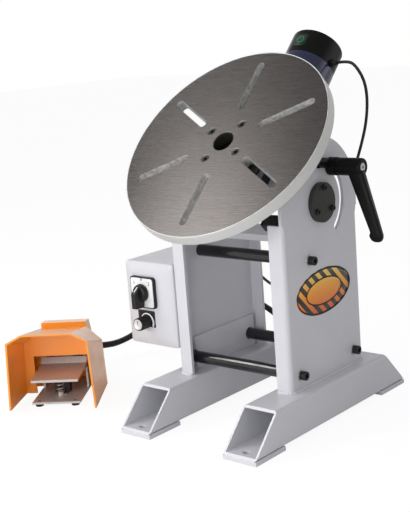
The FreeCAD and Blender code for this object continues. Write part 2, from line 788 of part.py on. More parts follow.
yoke_holes = [
    rod("X", (0, 0), -arm_out, arm_out, shaft_radius),
    rod("X", (stud_along, stud_up), arm_in, arm_out, S.lock_stud_diameter / 2),
    rod("Z", (0, S.spindle_shift), plate_under, S.seat_height, S.spindle_hub / 2 + 2),
]
mount_radius = S.housing_flange / 2 - S.housing_flange_thickness * 0.7
mount_spots = [
    (mount_radius * cosine(45 + 90 * index), S.spindle_shift + mount_radius * sine(45 + 90 * index))
    for index in range(4)
]
yoke_holes += [rod("Z", spot, plate_under, S.seat_height, S.table_screw * 3 / 8) for spot in mount_spots]
keep(less(join(yoke), yoke_holes, "tilt_yoke"), "head")

shafts = [
    rod("X", (0, 0), -bush_end, -arm_in, shaft_radius),
    rod("X", (0, 0), arm_in, bush_end, shaft_radius),
]
keep(group(shafts, "pivot_shafts"), "head")

collar_start = plate_out + S.side_gap
collar_end = collar_start + S.collar_length
stud_end = collar_end + S.insert_diameter
keep(group([rod("X", (stud_along, stud_up), arm_in, stud_end, S.lock_stud_diameter / 2)], "lock_stud"), "head")
keep(ring("X", (stud_along, stud_up), collar_start, collar_end, S.collar_diameter / 2,
          S.lock_stud_diameter / 2, "lock_collar"), "head")

# Gearbox: one bore for the spindle, one for the worm beside it.
housing_top = plate_under
tunnel_low = S.spindle_shift - S.tunnel_back
tunnel_high = S.spindle_shift + S.tunnel_front
worm_at = (S.gear_distance, S.gear_height)
spindle_at = (0, S.spindle_shift)
casting = [
    rod("Z", spindle_at, S.housing_low, housing_top, S.housing_radius),
    rod("Z", spindle_at, housing_top - S.housing_flange_thickness, housing_top, S.housing_flange / 2),
    rod("Y", worm_at, tunnel_low, tunnel_high, S.tunnel_radius),
    rod("Y", worm_at, S.yoke_edge + S.side_gap, tunnel_high, S.motor_diameter / 2 - 4),
]
hollow = [
    rod("Z", spindle_at, S.housing_low, housing_top, S.bearing_outer / 2),
    rod("Y", worm_at, tunnel_low + S.cover_thickness, tunnel_high, S.worm_bearing_outer / 2),
]
hollow += [
    rod("Z", spot, housing_top - S.housing_flange_thickness, housing_top, S.table_screw * 3 / 8)
    for spot in mount_spots
]
cover_low = S.housing_low - S.cover_thickness
cover_screw_radius = (S.housing_radius + S.bearing_outer / 2) / 2
cover_spots = [
    (cover_screw_radius * cosine(30 + 90 * index),
     S.spindle_shift + cover_screw_radius * sine(30 + 90 * index))
    for index in range(4)
]
cover_screw = S.cover_thickness * 0.8
hollow += [
    rod("Z", spot, S.housing_low, S.housing_low + 2 * cover_screw, cover_screw / 2)
    for spot in cover_spots
]
keep(less(join(casting), hollow, "gearbox_housing"), "head")
cover_cuts = [rod("Z", spindle_at, cover_low, S.housing_low, S.spindle_shaft / 2 + 1)]
cover_cuts += [rod("Z", spot, cover_low, S.housing_low, cover_screw / 2) for spot in cover_spots]
keep(less(rod("Z", spindle_at, cover_low, S.housing_low, S.housing_radius), cover_cuts, "gearbox_cover"),
     "head")

gear_screws = []
for spot in mount_spots:
    gear_screws.append(join([
        rod("Z", spot, housing_top - S.housing_flange_thickness, S.seat_height, S.table_screw * 3 / 8),
        rod("Z", spot, S.seat_height, S.seat_height + S.table_screw * 3 / 4, S.table_screw * 5 / 8),
    ]))
for spot in cover_spots:
    gear_screws.append(join([
        rod("Z", spot, cover_low, S.housing_low + 2 * cover_screw, cover_screw / 2),
        rod("Z", spot, cover_low - cover_screw * 3 / 4, cover_low, cover_screw * 0.9),
    ]))
keep(group(gear_screws, "gearbox_screws"), "head")

spindle_radius = S.spindle_shaft / 2
worm_radius = S.worm_shaft / 2
low_bearing = (S.housing_low, S.housing_low + S.bearing_width)
high_bearing = (housing_top - S.bearing_width, housing_top)
worm_low = (tunnel_low + S.cover_thickness, tunnel_low + S.cover_thickness + S.worm_bearing_width)
worm_high = (tunnel_high - S.worm_bearing_width, tunnel_high)
bearings = [
    ring("Z", spindle_at, *low_bearing, S.bearing_outer / 2, spindle_radius + S.running_gap),
    ring("Z", spindle_at, *high_bearing, S.bearing_outer / 2, spindle_radius + S.running_gap),
    ring("Y", worm_at, *worm_low, S.worm_bearing_outer / 2, worm_radius + S.running_gap),
    ring("Y", worm_at, *worm_high, S.worm_bearing_outer / 2, worm_radius + S.running_gap),
]
keep(group(bearings, "gear_bearings"), "head")

# Motor on the end of the worm tunnel.
motor_radius = S.motor_diameter / 2
bell_end = tunnel_high + S.bell_length
cap_start = S.motor_end - S.motor_cap_length
bell = less(rod("Y", worm_at, tunnel_high, bell_end, motor_radius), [
    rod("Y", worm_at, tunnel_high, bell_end, worm_radius + 1),
    rod("Y", worm_at, tunnel_high + S.bell_length / 2, bell_end, S.rotor_diameter / 2),
], "motor_bell")
keep(bell, "head")
keep(ring("Y", worm_at, bell_end, cap_start, motor_radius, motor_radius - S.motor_wall, "motor_body"),
     "head")
cap = less(rod("Y", worm_at, cap_start, S.motor_end, motor_radius - 0.5), [
    rod("Y", worm_at, cap_start, S.motor_end - S.motor_wall, motor_radius - S.motor_wall - 1),
])
gland_spot = (cap_start + S.motor_cap_length * 0.2, S.gear_height)
gland_from = S.gear_distance + motor_radius
keep(less(cap, [rod("X", gland_spot, gland_from - 10, gland_from, S.gland_size * 0.35)], "motor_cap"), "head")
motor_gland = join([
    rod("X", gland_spot, gland_from - 2, gland_from + 6, S.gland_size * 0.35),
    cone("X", gland_spot, gland_from + 6, gland_from + 12, S.gland_size * 0.3, S.motor_cable_diameter * 0.7),
])
keep(less(motor_gland, [rod("X", gland_spot, gland_from - 2, gland_from + 12, S.motor_cable_diameter / 2)],
          "motor_gland"), "head")

# Earth parts: a brush block under the table, a terminal block on the lower rail.
brush_out = plate_out - S.flange_width - 2
brush_at = ((brush_out - 42, brush_out), (-half_arm + 3, -half_arm + 36))
brush_top = table_low - S.side_gap
holder = block(*brush_at, (S.seat_height, table_low - 3))
brush_spot = (brush_out - 21, -half_arm + 19.5)
holder = less(holder, [rod("Z", brush_spot, S.seat_height + 4, table_low - 3, S.table_screw)])
brush = rod("Z", brush_spot, S.seat_height + 4, brush_top, S.table_screw)
terminal = block((arm_in - 46, arm_in - 12), (rail_tip + 8, rail_tip + 30), (S.rail_top, S.rail_top + 20))
terminal = join([terminal, rod("Y", (arm_in - 29, S.rail_top + 9), rail_tip + 5, rail_tip + 8, 4)])
keep(group([holder, brush, terminal], "earth_blocks"), "head")

# Worm shaft and rotor, turning together.
worm_shaft = join([
    rod("Y", worm_at, tunnel_low + S.cover_thickness, cap_start - 4, worm_radius),
    rod("Y", worm_at, S.spindle_shift - S.worm_length / 2, S.spindle_shift + S.worm_length / 2,
        S.worm_core / 2),
], "worm_shaft")
keep(worm_shaft, "head")
rotor_span = (bell_end + 8, cap_start - 12)
keep(ring("Y", worm_at, *rotor_span, S.rotor_diameter / 2, worm_radius, "motor_rotor"), "head")


# ---------------------------------------------------------------------------------------
# Turntable, in the spindle's frame
# ---------------------------------------------------------------------------------------
flange_low = table_low - S.spindle_flange_thickness
screw_spots = [
    (S.table_screw_circle / 2 * cosine(60 + 90 * index), S.table_screw_circle / 2 * sine(60 + 90 * index))
    for index in range(4)
]
spindle = join([
    rod("Z", (0, 0), flange_low, table_low, S.spindle_flange / 2),
    rod("Z", (0, 0), housing_top, flange_low, S.spindle_hub / 2),
    rod("Z", (0, 0), cover_low - 12, housing_top, spindle_radius),
])
spindle_cuts = [
    rod("Z", (0, 0), cover_low - 12, table_low, S.spindle_bore / 2),
    rod("Z", (0, 0), table_low - S.spindle_flange_thickness * 0.8, table_low, S.table_bore / 2),
]
spindle_cuts += [rod("Z", spot, flange_low, table_low, S.table_screw / 2) for spot in screw_spots]
keep(less(spindle, spindle_cuts, "spindle"), "spindle")
keep(ring("Z", (0, 0), cover_low - 11, cover_low - 1, S.spindle_nut_size / 2, spindle_radius,
          "spindle_nut"), "spindle")

table = body("table")
disc = sketch(table, "XZ_Plane")
outline(disc, [
    (S.table_bore / 2, table_low), (S.table_diameter / 2 - 1, table_low),
    (S.table_diameter / 2, table_low + 1), (S.table_diameter / 2, S.face_height - 1),
    (S.table_diameter / 2 - 1, S.face_height), (S.table_bore / 2 + 1, S.face_height),
    (S.table_bore / 2, S.face_height - 1),
])
turn(table, disc)
slot_radius = S.slot_width / 2
slot_sketch = sketch(table, "XY_Plane", S.face_height)
slot_sketch.AttachmentOffset = FreeCAD.Placement(V(), FreeCAD.Rotation(V(0, 0, 1), 30))
bind(slot_sketch, "AttachmentOffset.Base.z", S.face_height)
long_hole(slot_sketch, S.slot_inner + slot_radius, S.slot_outer - slot_radius, 0, slot_radius)
slot_cut = pocket(table, slot_sketch, S.table_thickness)
doc.recompute()
repeat(table, [slot_cut], S.slot_count)
screw_sketch = sketch(table, "XY_Plane", S.face_height)
for spot in screw_spots:
    circle(screw_sketch, *spot, S.table_screw / 2)
pocket(table, screw_sketch, S.table_thickness)
bore_sketch = sketch(table, "XY_Plane", S.face_height)
for spot in screw_spots:
    circle(bore_sketch, *spot, S.counterbore / 2)
last = pocket(table, bore_sketch, S.counterbore_depth)
table.Tip = last
keep(table, "spindle")

bolt_head_low = S.face_height - S.counterbore_depth
bolts = []
for spot in screw_spots:
    bolt = join([
        rod("Z", spot, flange_low, bolt_head_low, S.table_screw / 2),
        rod("Z", spot, bolt_head_low, bolt_head_low + S.table_screw, S.table_screw * 0.8125),
    ])
    socket = hexagon("Z", spot, bolt_head_low + S.table_screw / 2, bolt_head_low + S.table_screw,
                     S.table_screw * 0.75)
    bolts.append(less(bolt, [socket]))
keep(group(bolts, "table_screws"), "spindle")

wheel = body("worm_wheel")
gear_low = S.gear_height - S.wheel_face / 2
blank = sketch(wheel, "XY_Plane", gear_low)
tip_radius = S.gear_module * (S.wheel_teeth + 2) / 2
root_radius = S.gear_module * (S.wheel_teeth - 2.5) / 2
circle(blank, 0, 0, tip_radius)
circle(blank, 0, 0, spindle_radius)
pad(wheel, blank, S.wheel_face)
gap_sketch = sketch(wheel, "XY_Plane", gear_low)
outline(gap_sketch, [
    (root_radius, -0.45 * S.gear_module), (tip_radius + 1, -1.35 * S.gear_module),
    (tip_radius + 1, 1.35 * S.gear_module), (root_radius, 0.45 * S.gear_module),
])
gap = pocket(wheel, gap_sketch, S.wheel_face, flip=True)
doc.recompute()
repeat(wheel, [gap], S.wheel_teeth)
keep(wheel, "spindle")


# ---------------------------------------------------------------------------------------
# Clamping lever, in a frame on the locking stud
# ---------------------------------------------------------------------------------------
hub_start = collar_end + 2
hub_end = hub_start + S.hub_length
web_low = hub_start + S.hub_length / 2
web_high = web_low + 4
screw_head = 7
insert_end = web_low - 1
insert_start = collar_end + S.side_gap
insert = join([
    rod("X", (0, 0), insert_start, insert_end, S.insert_diameter / 2),
    rod("X", (0, 0), insert_start, hub_start - 0.5, S.hub_diameter / 2 - 2),
])
keep(less(insert, [
    rod("X", (0, 0), collar_end, stud_end + 1, S.lock_stud_diameter / 2 + S.running_gap),
    rod("X", (0, 0), stud_end, insert_end, S.lock_stud_diameter / 4),
], "lever_insert"), "lever")
keep(less(join([
    rod("X", (0, 0), stud_end + 1, hub_end - 1 - screw_head, S.lock_stud_diameter / 4),
    rod("X", (0, 0), hub_end - 1 - screw_head, hub_end - 1, S.insert_diameter * 0.36),
]), [hexagon("X", (0, 0), hub_end - 5, hub_end - 1, S.lock_stud_diameter / 2)], "lever_screw"), "lever")


def handle():
    """Hub and a tapering handle: ellipses lofted down the leaning arm, with a finger stop."""
    radius = float(S.hub_diameter) / 2
    hub = Part.makeCylinder(radius, float(S.hub_length), V(float(hub_start), 0, 0), V(1, 0, 0))
    hub = hub.makeFillet(3, [edge for edge in hub.Edges if edge.Closed
                             and abs(edge.Vertexes[0].X - float(hub_end)) < 0.01])
    lean = math.radians(float(S.lever_lean))
    root = V(float(hub_end) - radius, 0, 0)
    down = V(math.sin(lean), 0, -math.cos(lean))
    across = V(math.cos(lean), 0, math.sin(lean))
    length = float(S.lever_length)
    root_width = float(S.lever_width)
    tip_width = float(S.lever_tip_width)
    wires = []
    for part, width, depth in ((0, root_width, 0.95), (0.35, root_width * 0.95, 0.85),
                               (0.8, tip_width, 0.8), (0.95, tip_width * 0.9, 0.75), (1, tip_width * 0.6, 0.6)):
        ellipse = Part.Ellipse(V(0, 0, 0), width / 2, width / 2 * depth)
        place = FreeCAD.Placement(root + down * (part * length), FreeCAD.Rotation(V(0, 1, 0), across, down, "XZY"))
        edge = ellipse.toShape()
        edge.Placement = place
        wires.append(Part.Wire([edge]))
    arm = Part.makeLoft(wires, True, False)
    stop = Part.makeSphere(5, root + down * (0.86 * length) - across * (tip_width * 0.36))
    whole = hub.fuse([arm, stop]).removeSplitter()
    bore = float(S.insert_diameter) / 2 + float(S.running_gap)
    start = V(float(hub_start), 0, 0)
    cuts = [
        Part.makeCylinder(bore, float(web_low - hub_start), start, V(1, 0, 0)),
        Part.makeCylinder(float(S.lock_stud_diameter) / 4 + 0.3, float(S.hub_length), start, V(1, 0, 0)),
        Part.makeCylinder(float(S.insert_diameter) * 0.41, float(hub_end - web_high),
                          V(float(web_high), 0, 0), V(1, 0, 0)),
    ]
    return whole.cut(cuts)


keep(solid("lock_lever", handle()), "lever")


def coil_spring(turns, wire, radius, height):
    """Round-wire helix along Z, from the origin."""
    pitch = (height - wire) / turns
    path = Part.makeHelix(pitch, height - wire, radius)
    section = Part.Wire([Part.Circle(V(radius, 0, 0), V(0, 1, 0), wire / 2).toShape()])
    return Part.Wire(path).makePipeShell([section], True, True)


keep(ring("X", (0, 0), web_high, hub_end - 1 - screw_head, S.insert_diameter * 0.36,
          S.lock_stud_diameter / 4 + 1, "lever_spring"), "lever")


# ---------------------------------------------------------------------------------------
# Control box on the left side plate
# ---------------------------------------------------------------------------------------
box_left = box_side - S.box_width
box_face = -S.box_front
sheet_wall = S.box_sheet


def along_y(edge):
    return edge.Curve.TypeId == "Part::GeomLine" and abs(edge.Curve.Direction.y) > 0.999


shell = body("control_box")
face = sketch(shell, "XZ_Plane", -box_back)
outline(face, [(box_left, S.box_low), (box_side, S.box_low), (box_side, box_top), (box_left, box_top)])
blank = pad(shell, face, S.box_depth)
soften(shell, blank, S.box_corner, along_y)
room = sketch(shell, "XZ_Plane", -box_back)
outline(room, [
    (box_left + sheet_wall, S.box_low + sheet_wall), (box_side - sheet_wall, S.box_low + sheet_wall),
    (box_side - sheet_wall, box_top - sheet_wall), (box_left + sheet_wall, box_top - sheet_wall),
])
space = pocket(shell, room, S.box_depth - sheet_wall, flip=True)
soften(shell, space, S.box_corner - sheet_wall,
       lambda edge: along_y(edge) and float(box_left) + 1 < edge.Vertexes[0].X < float(box_side) - 1
       and float(S.box_low) + 1 < edge.Vertexes[0].Z < float(box_top) - 1)
switch_at = (box_side - S.switch_across, S.box_low + S.switch_up)
speed_at = (box_side - S.speed_across, S.box_low + S.speed_up)
front_holes = sketch(shell, "XZ_Plane", S.box_front)
circle(front_holes, *switch_at, 6)
circle(front_holes, *speed_at, 5)
pocket(shell, front_holes, sheet_wall)

# Screw posts in the four corners carry the rear cover; four screws hold the box to the plate.
post = 11
cover_corners = [
    (x, z)
    for x in (box_left + sheet_wall + post / 2, box_side - sheet_wall - post / 2)
    for z in (S.box_low + sheet_wall + post / 2, box_top - sheet_wall - post / 2)
]
posts = [
    block((x - post / 2, x + post / 2), (box_back - 14, box_back), (z - post / 2, z + post / 2))
    for x, z in cover_corners
]
post_holes = [rod("Y", corner, box_back - 14, box_back, 2) for corner in cover_corners]
bolt_holes = [rod("X", spot, box_side - sheet_wall, box_side, box_bolt_radius) for spot in box_bolt_spots]
control_box = less(join([shell] + posts), post_holes + bolt_holes, "control_box_shell")
shell.Label = "control_box_sheet"
keep(control_box)

gland_spots = {
    "conduit": (box_side - S.gland_side - S.gland_spread, S.box_low + S.gland_row),
    "mains": (box_side - S.gland_side, S.box_low + S.gland_row),
    "motor": (box_side - S.gland_side, S.box_low + S.motor_gland_row),
}
cover_back = box_back + sheet_wall
thread_radius = S.gland_size * 0.4
lid = block((box_left + 1, box_side - 1), (box_back, cover_back), (S.box_low + 1, box_top - 1))
lid_holes = [rod("Y", spot, box_back, cover_back, thread_radius) for spot in gland_spots.values()]
lid_holes += [rod("Y", corner, box_back, cover_back, 2) for corner in cover_corners]
keep(less(lid, lid_holes, "box_rear_cover"))

box_screws = []
for corner in cover_corners:
    box_screws.append(join([
        rod("Y", corner, box_back - 12, cover_back, 2),
        rod("Y", corner, cover_back, cover_back + 3, 4),
    ]))
for spot in box_bolt_spots:
    box_screws.append(join([
        rod("X", spot, box_side - sheet_wall, -plate_in, box_bolt_radius),
        hexagon("X", spot, box_side - sheet_wall - 4, box_side - sheet_wall, 10),
        cone("X", spot, -plate_in - 3.5, -plate_in, box_bolt_radius, 6.5),
    ]))
keep(group(box_screws, "box_screws"))

# Cam switch: body behind the sheet, square plate in front, knob with its shaft.
inner_face = box_face + sheet_wall
shaft = 4
keep(less(block((switch_at[0] - 24, switch_at[0] + 24), (inner_face, inner_face + 58),
                (switch_at[1] - 24, switch_at[1] + 24)),
          [rod("Y", switch_at, inner_face, inner_face + 50, shaft + S.running_gap)], "switch_body"))
half_plate = S.switch_plate_size / 2
plate_face = box_face - S.switch_plate_thickness
keep(less(block((switch_at[0] - half_plate, switch_at[0] + half_plate), (plate_face, box_face),
                (switch_at[1] - half_plate, switch_at[1] + half_plate)),
          [rod("Y", switch_at, plate_face, box_face, 7)], "switch_plate"))
knob_back = plate_face - S.side_gap
keep(join([
    rod("Y", switch_at, knob_back, inner_face + 48, shaft),
    rod("Y", switch_at, knob_back - 6, knob_back, 21),
    block((switch_at[0] - 6, switch_at[0] + 6), (knob_back - 24, knob_back - 6),
          (switch_at[1] - 20, switch_at[1] + 20)),
], "switch_knob"))

# Speed control: potentiometer, label plate, knob with its shaft, board on stand-offs.
label_middle = speed_at[1] + S.label_rise
keep(less(block((speed_at[0] - S.speed_label_width / 2, speed_at[0] + S.speed_label_width / 2),
                (box_face - 1, box_face),
                (label_middle - S.speed_label_height / 2, label_middle + S.speed_label_height / 2)),
          [rod("Y", speed_at, box_face - 1, box_face, 6)], "speed_label"))
keep(less(join([
    rod("Y", speed_at, inner_face, inner_face + 14, 12),
    rod("Y", speed_at, box_face - 1.5, inner_face, 5),
]), [rod("Y", speed_at, box_face - 2, inner_face + 12, 3 + S.running_gap)], "speed_pot"))
speed_back = box_face - 2
speed_front = speed_back - S.speed_knob_length
knob_radius = S.speed_knob_diameter / 2
keep(join([
    rod("Y", speed_at, speed_back, inner_face + 10, 3),
    cone("Y", speed_at, speed_front + 2, speed_back, knob_radius - 1, knob_radius),
    cone("Y", speed_at, speed_front, speed_front + 2, knob_radius - 2.5, knob_radius - 1),
], "speed_knob"))
board_left = box_left + sheet_wall
board_face = board_left + S.board_gap
board_low = S.box_low + 36
board_high = box_top - 36
board = [block((board_face, board_face + 1.6), (-30, 60), (board_low, board_high))]
board += [rod("X", (y, z), board_left, board_face, 3) for y in (-25, 55) for z in (board_low + 5, board_high - 5)]
board.append(block((board_face + 1.6, board_face + 22), (10, 52), (board_low + 10, board_low + 34)))
board.append(block((board_face + 1.6, board_face + 18), (-22, -4), (board_low + 12, board_low + 26)))
board += [rod("X", (y, board_high - 18), board_face + 1.6, board_face + 22, 8) for y in (-12, 12, 36)]
keep(join(board, "speed_board"))


# ---------------------------------------------------------------------------------------
# Foot pedal, in its own frame: X across, Y to the rear from the hood's front edge
# ---------------------------------------------------------------------------------------
def section(width, shoulder, shoulder_height, top, height, y, inset):
    """Cross-section of the hood as a closed wire, drawn in by an inset."""
    low = float(S.hood_lift)
    corners = [
        (width / 2 - inset, low), (shoulder / 2 - inset, shoulder_height - inset * 0.6),
        (top / 2 - inset * 0.5, height - inset), (-top / 2 + inset * 0.5, height - inset),
        (-shoulder / 2 + inset, shoulder_height - inset * 0.6), (-width / 2 + inset, low),
    ]
    return Part.makePolygon([V(x, y, z) for x, z in corners + corners[:1]])


def hood():
    """Folded guard open to the front and below, a screen inside, a housing at its rear."""
    width, shoulder = float(S.hood_width), float(S.hood_shoulder)
    top, height = float(S.hood_top_width), float(S.hood_height)
    shoulder_height, length = float(S.hood_shoulder_height), float(S.hood_length)
    drop, wall, lift = float(S.hood_drop), float(S.hood_wall), float(S.hood_lift)
    rear = (width - 14, shoulder - 8, shoulder_height - drop * 1.5, top - 5, height - drop)

    def at(y, inset):
        part = y / length
        values = [first + (last - first) * part
                  for first, last in zip((width, shoulder, shoulder_height, top, height), rear)]
        return section(*values, y, inset)

    outer = Part.makeLoft([at(0, 0), at(length, 0)], True, True)
    inner = Part.makeLoft([at(-1, wall), at(length - wall, wall)], True, True)
    inner = inner.fuse(inner.translated(V(0, 0, -1)))
    screen_back = float(S.screen_back)
    screen = Part.makeLoft([at(screen_back, wall / 2), at(screen_back + wall, wall / 2)], True, True)
    opening = float(S.screen_opening)
    screen = screen.cut(Part.makeBox(opening, wall * 3, float(S.screen_opening_top),
                                     V(-opening / 2, screen_back - wall, 0)))
    rear_width, rear_end = float(S.rear_width), length + float(S.rear_length)
    rear_low = float(S.rubber_height) + float(S.base_thickness)
    rear_high = height - drop + 11
    tail = Part.makePolygon([V(-rear_width / 2, y, z) for y, z in (
        (length - wall, rear_low), (rear_end, rear_low), (rear_end, rear_high * 0.8),
        (rear_end - 14, rear_high - 3), (length - wall, rear_high), (length - wall, rear_low))])
    tail = Part.Face(tail).extrude(V(rear_width, 0, 0))
    tail_room = Part.makePolygon([V(wall - rear_width / 2, y, z) for y, z in (
        (length - 3 * wall, rear_low), (rear_end - wall, rear_low), (rear_end - wall, rear_high * 0.79),
        (rear_end - 14 - wall, rear_high - 3 - wall), (length, rear_high - wall),
        (length, (height - drop) * 0.92), (length - 3 * wall, (height - drop) * 0.92),
        (length - 3 * wall, rear_low))])
    tail_room = Part.Face(tail_room).extrude(V(rear_width - 2 * wall, 0, 0))
    base_room = Part.makeBox(float(S.base_width) + 2, rear_end - float(S.base_front), rear_low - lift + 1,
                             V(-float(S.base_width) / 2 - 1, float(S.base_front), lift - 1))
    shell = outer.cut(inner).fuse([screen, tail]).cut([tail_room, base_room])
    gland = Part.makeCylinder(float(S.gland_size) * 0.4, 3 * wall,
                              V(float(S.conduit_across), rear_end - 2 * wall, float(S.conduit_up)), V(0, 1, 0))
    return shell.cut(gland)


keep(solid("pedal_hood", hood()), "pedal")

base_low = S.rubber_height
base_top = base_low + S.base_thickness
base_rear = S.hood_length + S.rear_length
half_base = S.base_width / 2
pin_spot = (S.pin_back, S.pin_height)
pin_radius = S.pin_diameter / 2
lug = 4
pedal_base = [block((-half_base, half_base), (S.base_front, base_rear), (base_low, base_top))]
for low, high in ((-half_base + 1, -half_base + 1 + lug), (half_base - 1 - lug, half_base - 1)):
    pedal_base.append(block((low, high), (S.pin_back - 9, S.pin_back + 9), (base_top, S.pin_height)))
    pedal_base.append(rod("X", pin_spot, low, high, 9))
pedal_base.append(rod("Z", (0, S.spring_back), base_top, base_top + 8, S.spring_diameter / 2 - 2))
rubber_spots = [(x, y) for x in (12 - half_base, half_base - 12) for y in (S.base_front + 10, base_rear - 17)]
base_holes = [rod("X", pin_spot, -half_base, half_base, pin_radius)]
base_holes += [rod("Z", spot, base_low, base_top, 3) for spot in rubber_spots]
keep(less(join(pedal_base), base_holes, "pedal_base"), "pedal")
rubbers = [
    join([rod("Z", spot, 0, base_low, S.rubber_diameter / 2), rod("Z", spot, base_low, base_top, 3)])
    for spot in rubber_spots
]
keep(group(rubbers, "pedal_feet"), "pedal")

# Treadle: a plate that bends up at its rear, with two ears that run on the pin.
treadle = body("treadle_plate")
rise = S.treadle_rise / (S.treadle_crease - S.treadle_front)
crease_height = S.treadle_height + S.treadle_rise
lip = 8
lip_height = 12
profile = sketch(treadle, "YZ_Plane", -S.treadle_width / 2)
outline(profile, [
    (S.treadle_front, S.treadle_height - S.treadle_sheet), (S.treadle_front, S.treadle_height),
    (S.treadle_crease, crease_height),
    (S.treadle_crease + lip, crease_height + lip_height),
    (S.treadle_crease + lip + S.treadle_sheet * 0.83, crease_height + lip_height - S.treadle_sheet * 0.55),
    (S.treadle_crease + S.treadle_sheet * 0.6, crease_height - S.treadle_sheet),
])
pad(treadle, profile, S.treadle_width)
ear_in = half_base - 1 - lug - S.side_gap - lug
ears = []
for low, high in ((-ear_in - lug, -ear_in), (ear_in, ear_in + lug)):
    ears.append(rod("X", pin_spot, low, high, 8))
    ears.append(block((low, high), (S.pin_back - 22, S.pin_back - 4), (S.pin_height + 1, crease_height - 3)))
    ears.append(block((low, high), (S.pin_back - 8, S.pin_back), (S.pin_height, crease_height - 3)))
treadle_bore = rod("X", pin_spot, -ear_in - lug, ear_in + lug, pin_radius + S.running_gap)
keep(less(join([treadle] + ears), [treadle_bore], "pedal_treadle"), "pedal")
keep(group([rod("X", pin_spot, -half_base, half_base, pin_radius)], "pedal_pin"), "pedal")


def under_treadle(back):
    """Height of the treadle's underside at a distance behind the hood's front edge."""
    return S.treadle_height - S.treadle_sheet + (back - S.treadle_front) * rise


spring_height = float(under_treadle(S.spring_back - S.spring_diameter) - base_top) - 0.3
spring = coil_spring(float(S.spring_turns), float(S.spring_wire), float(S.spring_diameter) / 2, spring_height)
spring.translate(V(0, float(S.spring_back), float(base_top + S.spring_wire / 2)))
keep(solid("pedal_spring", spring), "pedal")
switch_top = S.pin_height - 4
plunger_spot = (0, S.plunger_back)
plunger_radius = S.plunger_diameter / 2
plunger_top = under_treadle(S.plunger_back - plunger_radius) - 0.4
limit_switch = join([
    block((-15, 15), (S.plunger_back - 9, S.plunger_back + 9), (base_top, switch_top - 6)),
    rod("Z", plunger_spot, switch_top - 6, switch_top, plunger_radius + 3),
])
keep(less(limit_switch, [rod("Z", plunger_spot, base_top + 8, switch_top, plunger_radius + S.running_gap)],
          "pedal_switch"), "pedal")
keep(join([
    rod("Z", plunger_spot, base_top + 16, plunger_top - 1, plunger_radius),
    cone("Z", plunger_spot, plunger_top - 1, plunger_top, plunger_radius, plunger_radius - 1),
], "pedal_plunger"), "pedal")


# ---------------------------------------------------------------------------------------
# Cable glands and cords
# ---------------------------------------------------------------------------------------
def gland(spot, face, cable, size, wall=sheet_wall):
    """Gland along Y from a face: lock nut inside, hexagon and cap outside, round the cable."""
    length = S.gland_length
    outer = join([
        hexagon("Y", spot, face, face + length * 0.3, size * 1.1),
        rod("Y", spot, face + length * 0.3, face + length * 0.7, size / 2),
        cone("Y", spot, face + length * 0.7, face + length, size / 2, cable / 2 + 1.5),
        rod("Y", spot, face - 8, face, S.gland_size * 0.4),
        hexagon("Y", spot, face - wall - 4, face - wall, S.gland_size),
    ])
    return less(outer, [rod("Y", spot, face - 8, face + length, cable / 2)])


keep(group([
    gland(gland_spots["conduit"], cover_back, S.conduit_diameter, S.gland_size * 1.15),
    gland(gland_spots["mains"], cover_back, S.lead_diameter, S.gland_size),
    gland(gland_spots["motor"], cover_back, S.motor_cable_diameter, S.gland_size * 0.8),
    place(gland((S.conduit_across, S.conduit_up), base_rear, S.conduit_diameter, S.gland_size, S.hood_wall),
          "pedal"),
], "cable_glands"))


def pedal_point(across, back, up):
    """Point of the pedal's frame in the object's frame."""
    turn_by = math.radians(float(S.pedal_turn))
    across, back = float(across), float(back)
    return V(across * math.cos(turn_by) - back * math.sin(turn_by) - float(S.pedal_side),
             across * math.sin(turn_by) + back * math.cos(turn_by) - float(S.pedal_ahead), float(up))


def route(points):
    """Straight runs joined by tangent arcs, as edges, with the radii of the arcs."""
    edges = []
    radii = []
    start = points[0]
    for before, here, after in zip(points, points[1:], points[2:]):
        back = (before - here).normalize()
        forward = (after - here).normalize()
        half_turn = (math.pi - back.getAngle(forward)) / 2
        reach = 0.45 * min(before.distanceToPoint(here), here.distanceToPoint(after))
        radius = reach / math.tan(half_turn)
        radii.append(radius)
        first = here + back * reach
        last = here + forward * reach
        bisector = (back + forward).normalize()
        middle = here + bisector * (radius / math.cos(half_turn) - radius)
        edges.append(Part.makeLine(start, first))
        edges.append(Part.Arc(first, middle, last).toShape())
        start = last
    edges.append(Part.makeLine(start, points[-1]))
    return edges, radii


def cord(label, points, diameter):
    """Round tube along a route."""
    edges, radii = route(points)
    size = float(diameter)
    heading = (points[1] - points[0]).normalize()
    end = Part.Wire([Part.Circle(points[0], heading, size / 2).toShape()])
    tube = Part.Wire(edges).makePipeShell([end], True, False)
    length = sum(edge.Length for edge in edges)
    exact = length * math.pi * size ** 2 / 4
    print(f"{label}: length {length:.0f}, smallest radius {min(radii):.0f} = {min(radii) / size:.1f} diameters,"
          f" volume ratio {tube.Volume / exact:.4f}, lowest {tube.BoundBox.ZMin:.1f}")
    print("   radii", " ".join(f"{radius:.0f}" for radius in radii))
    return tube


def gland_end(name):
    x, z = gland_spots[name]
    return V(float(x), float(cover_back + S.gland_length), float(z))


pedal_end = pedal_point(S.conduit_across, base_rear + S.gland_length, S.conduit_up)
rearward = pedal_point(0, 1, 0) - pedal_point(0, 0, 0)
conduit_end = gland_end("conduit")
keep(solid("pedal_conduit", cord("pedal_conduit", [
    pedal_end, pedal_end + rearward * 42, V(-491, 35, 40.5), V(-476, 105, 33.5), V(-412, 169.5, 90),
    V(-329, 206, 89.5), V(-247, 223.5, 116), conduit_end + V(0, 70, -18), conduit_end,
], S.conduit_diameter)))

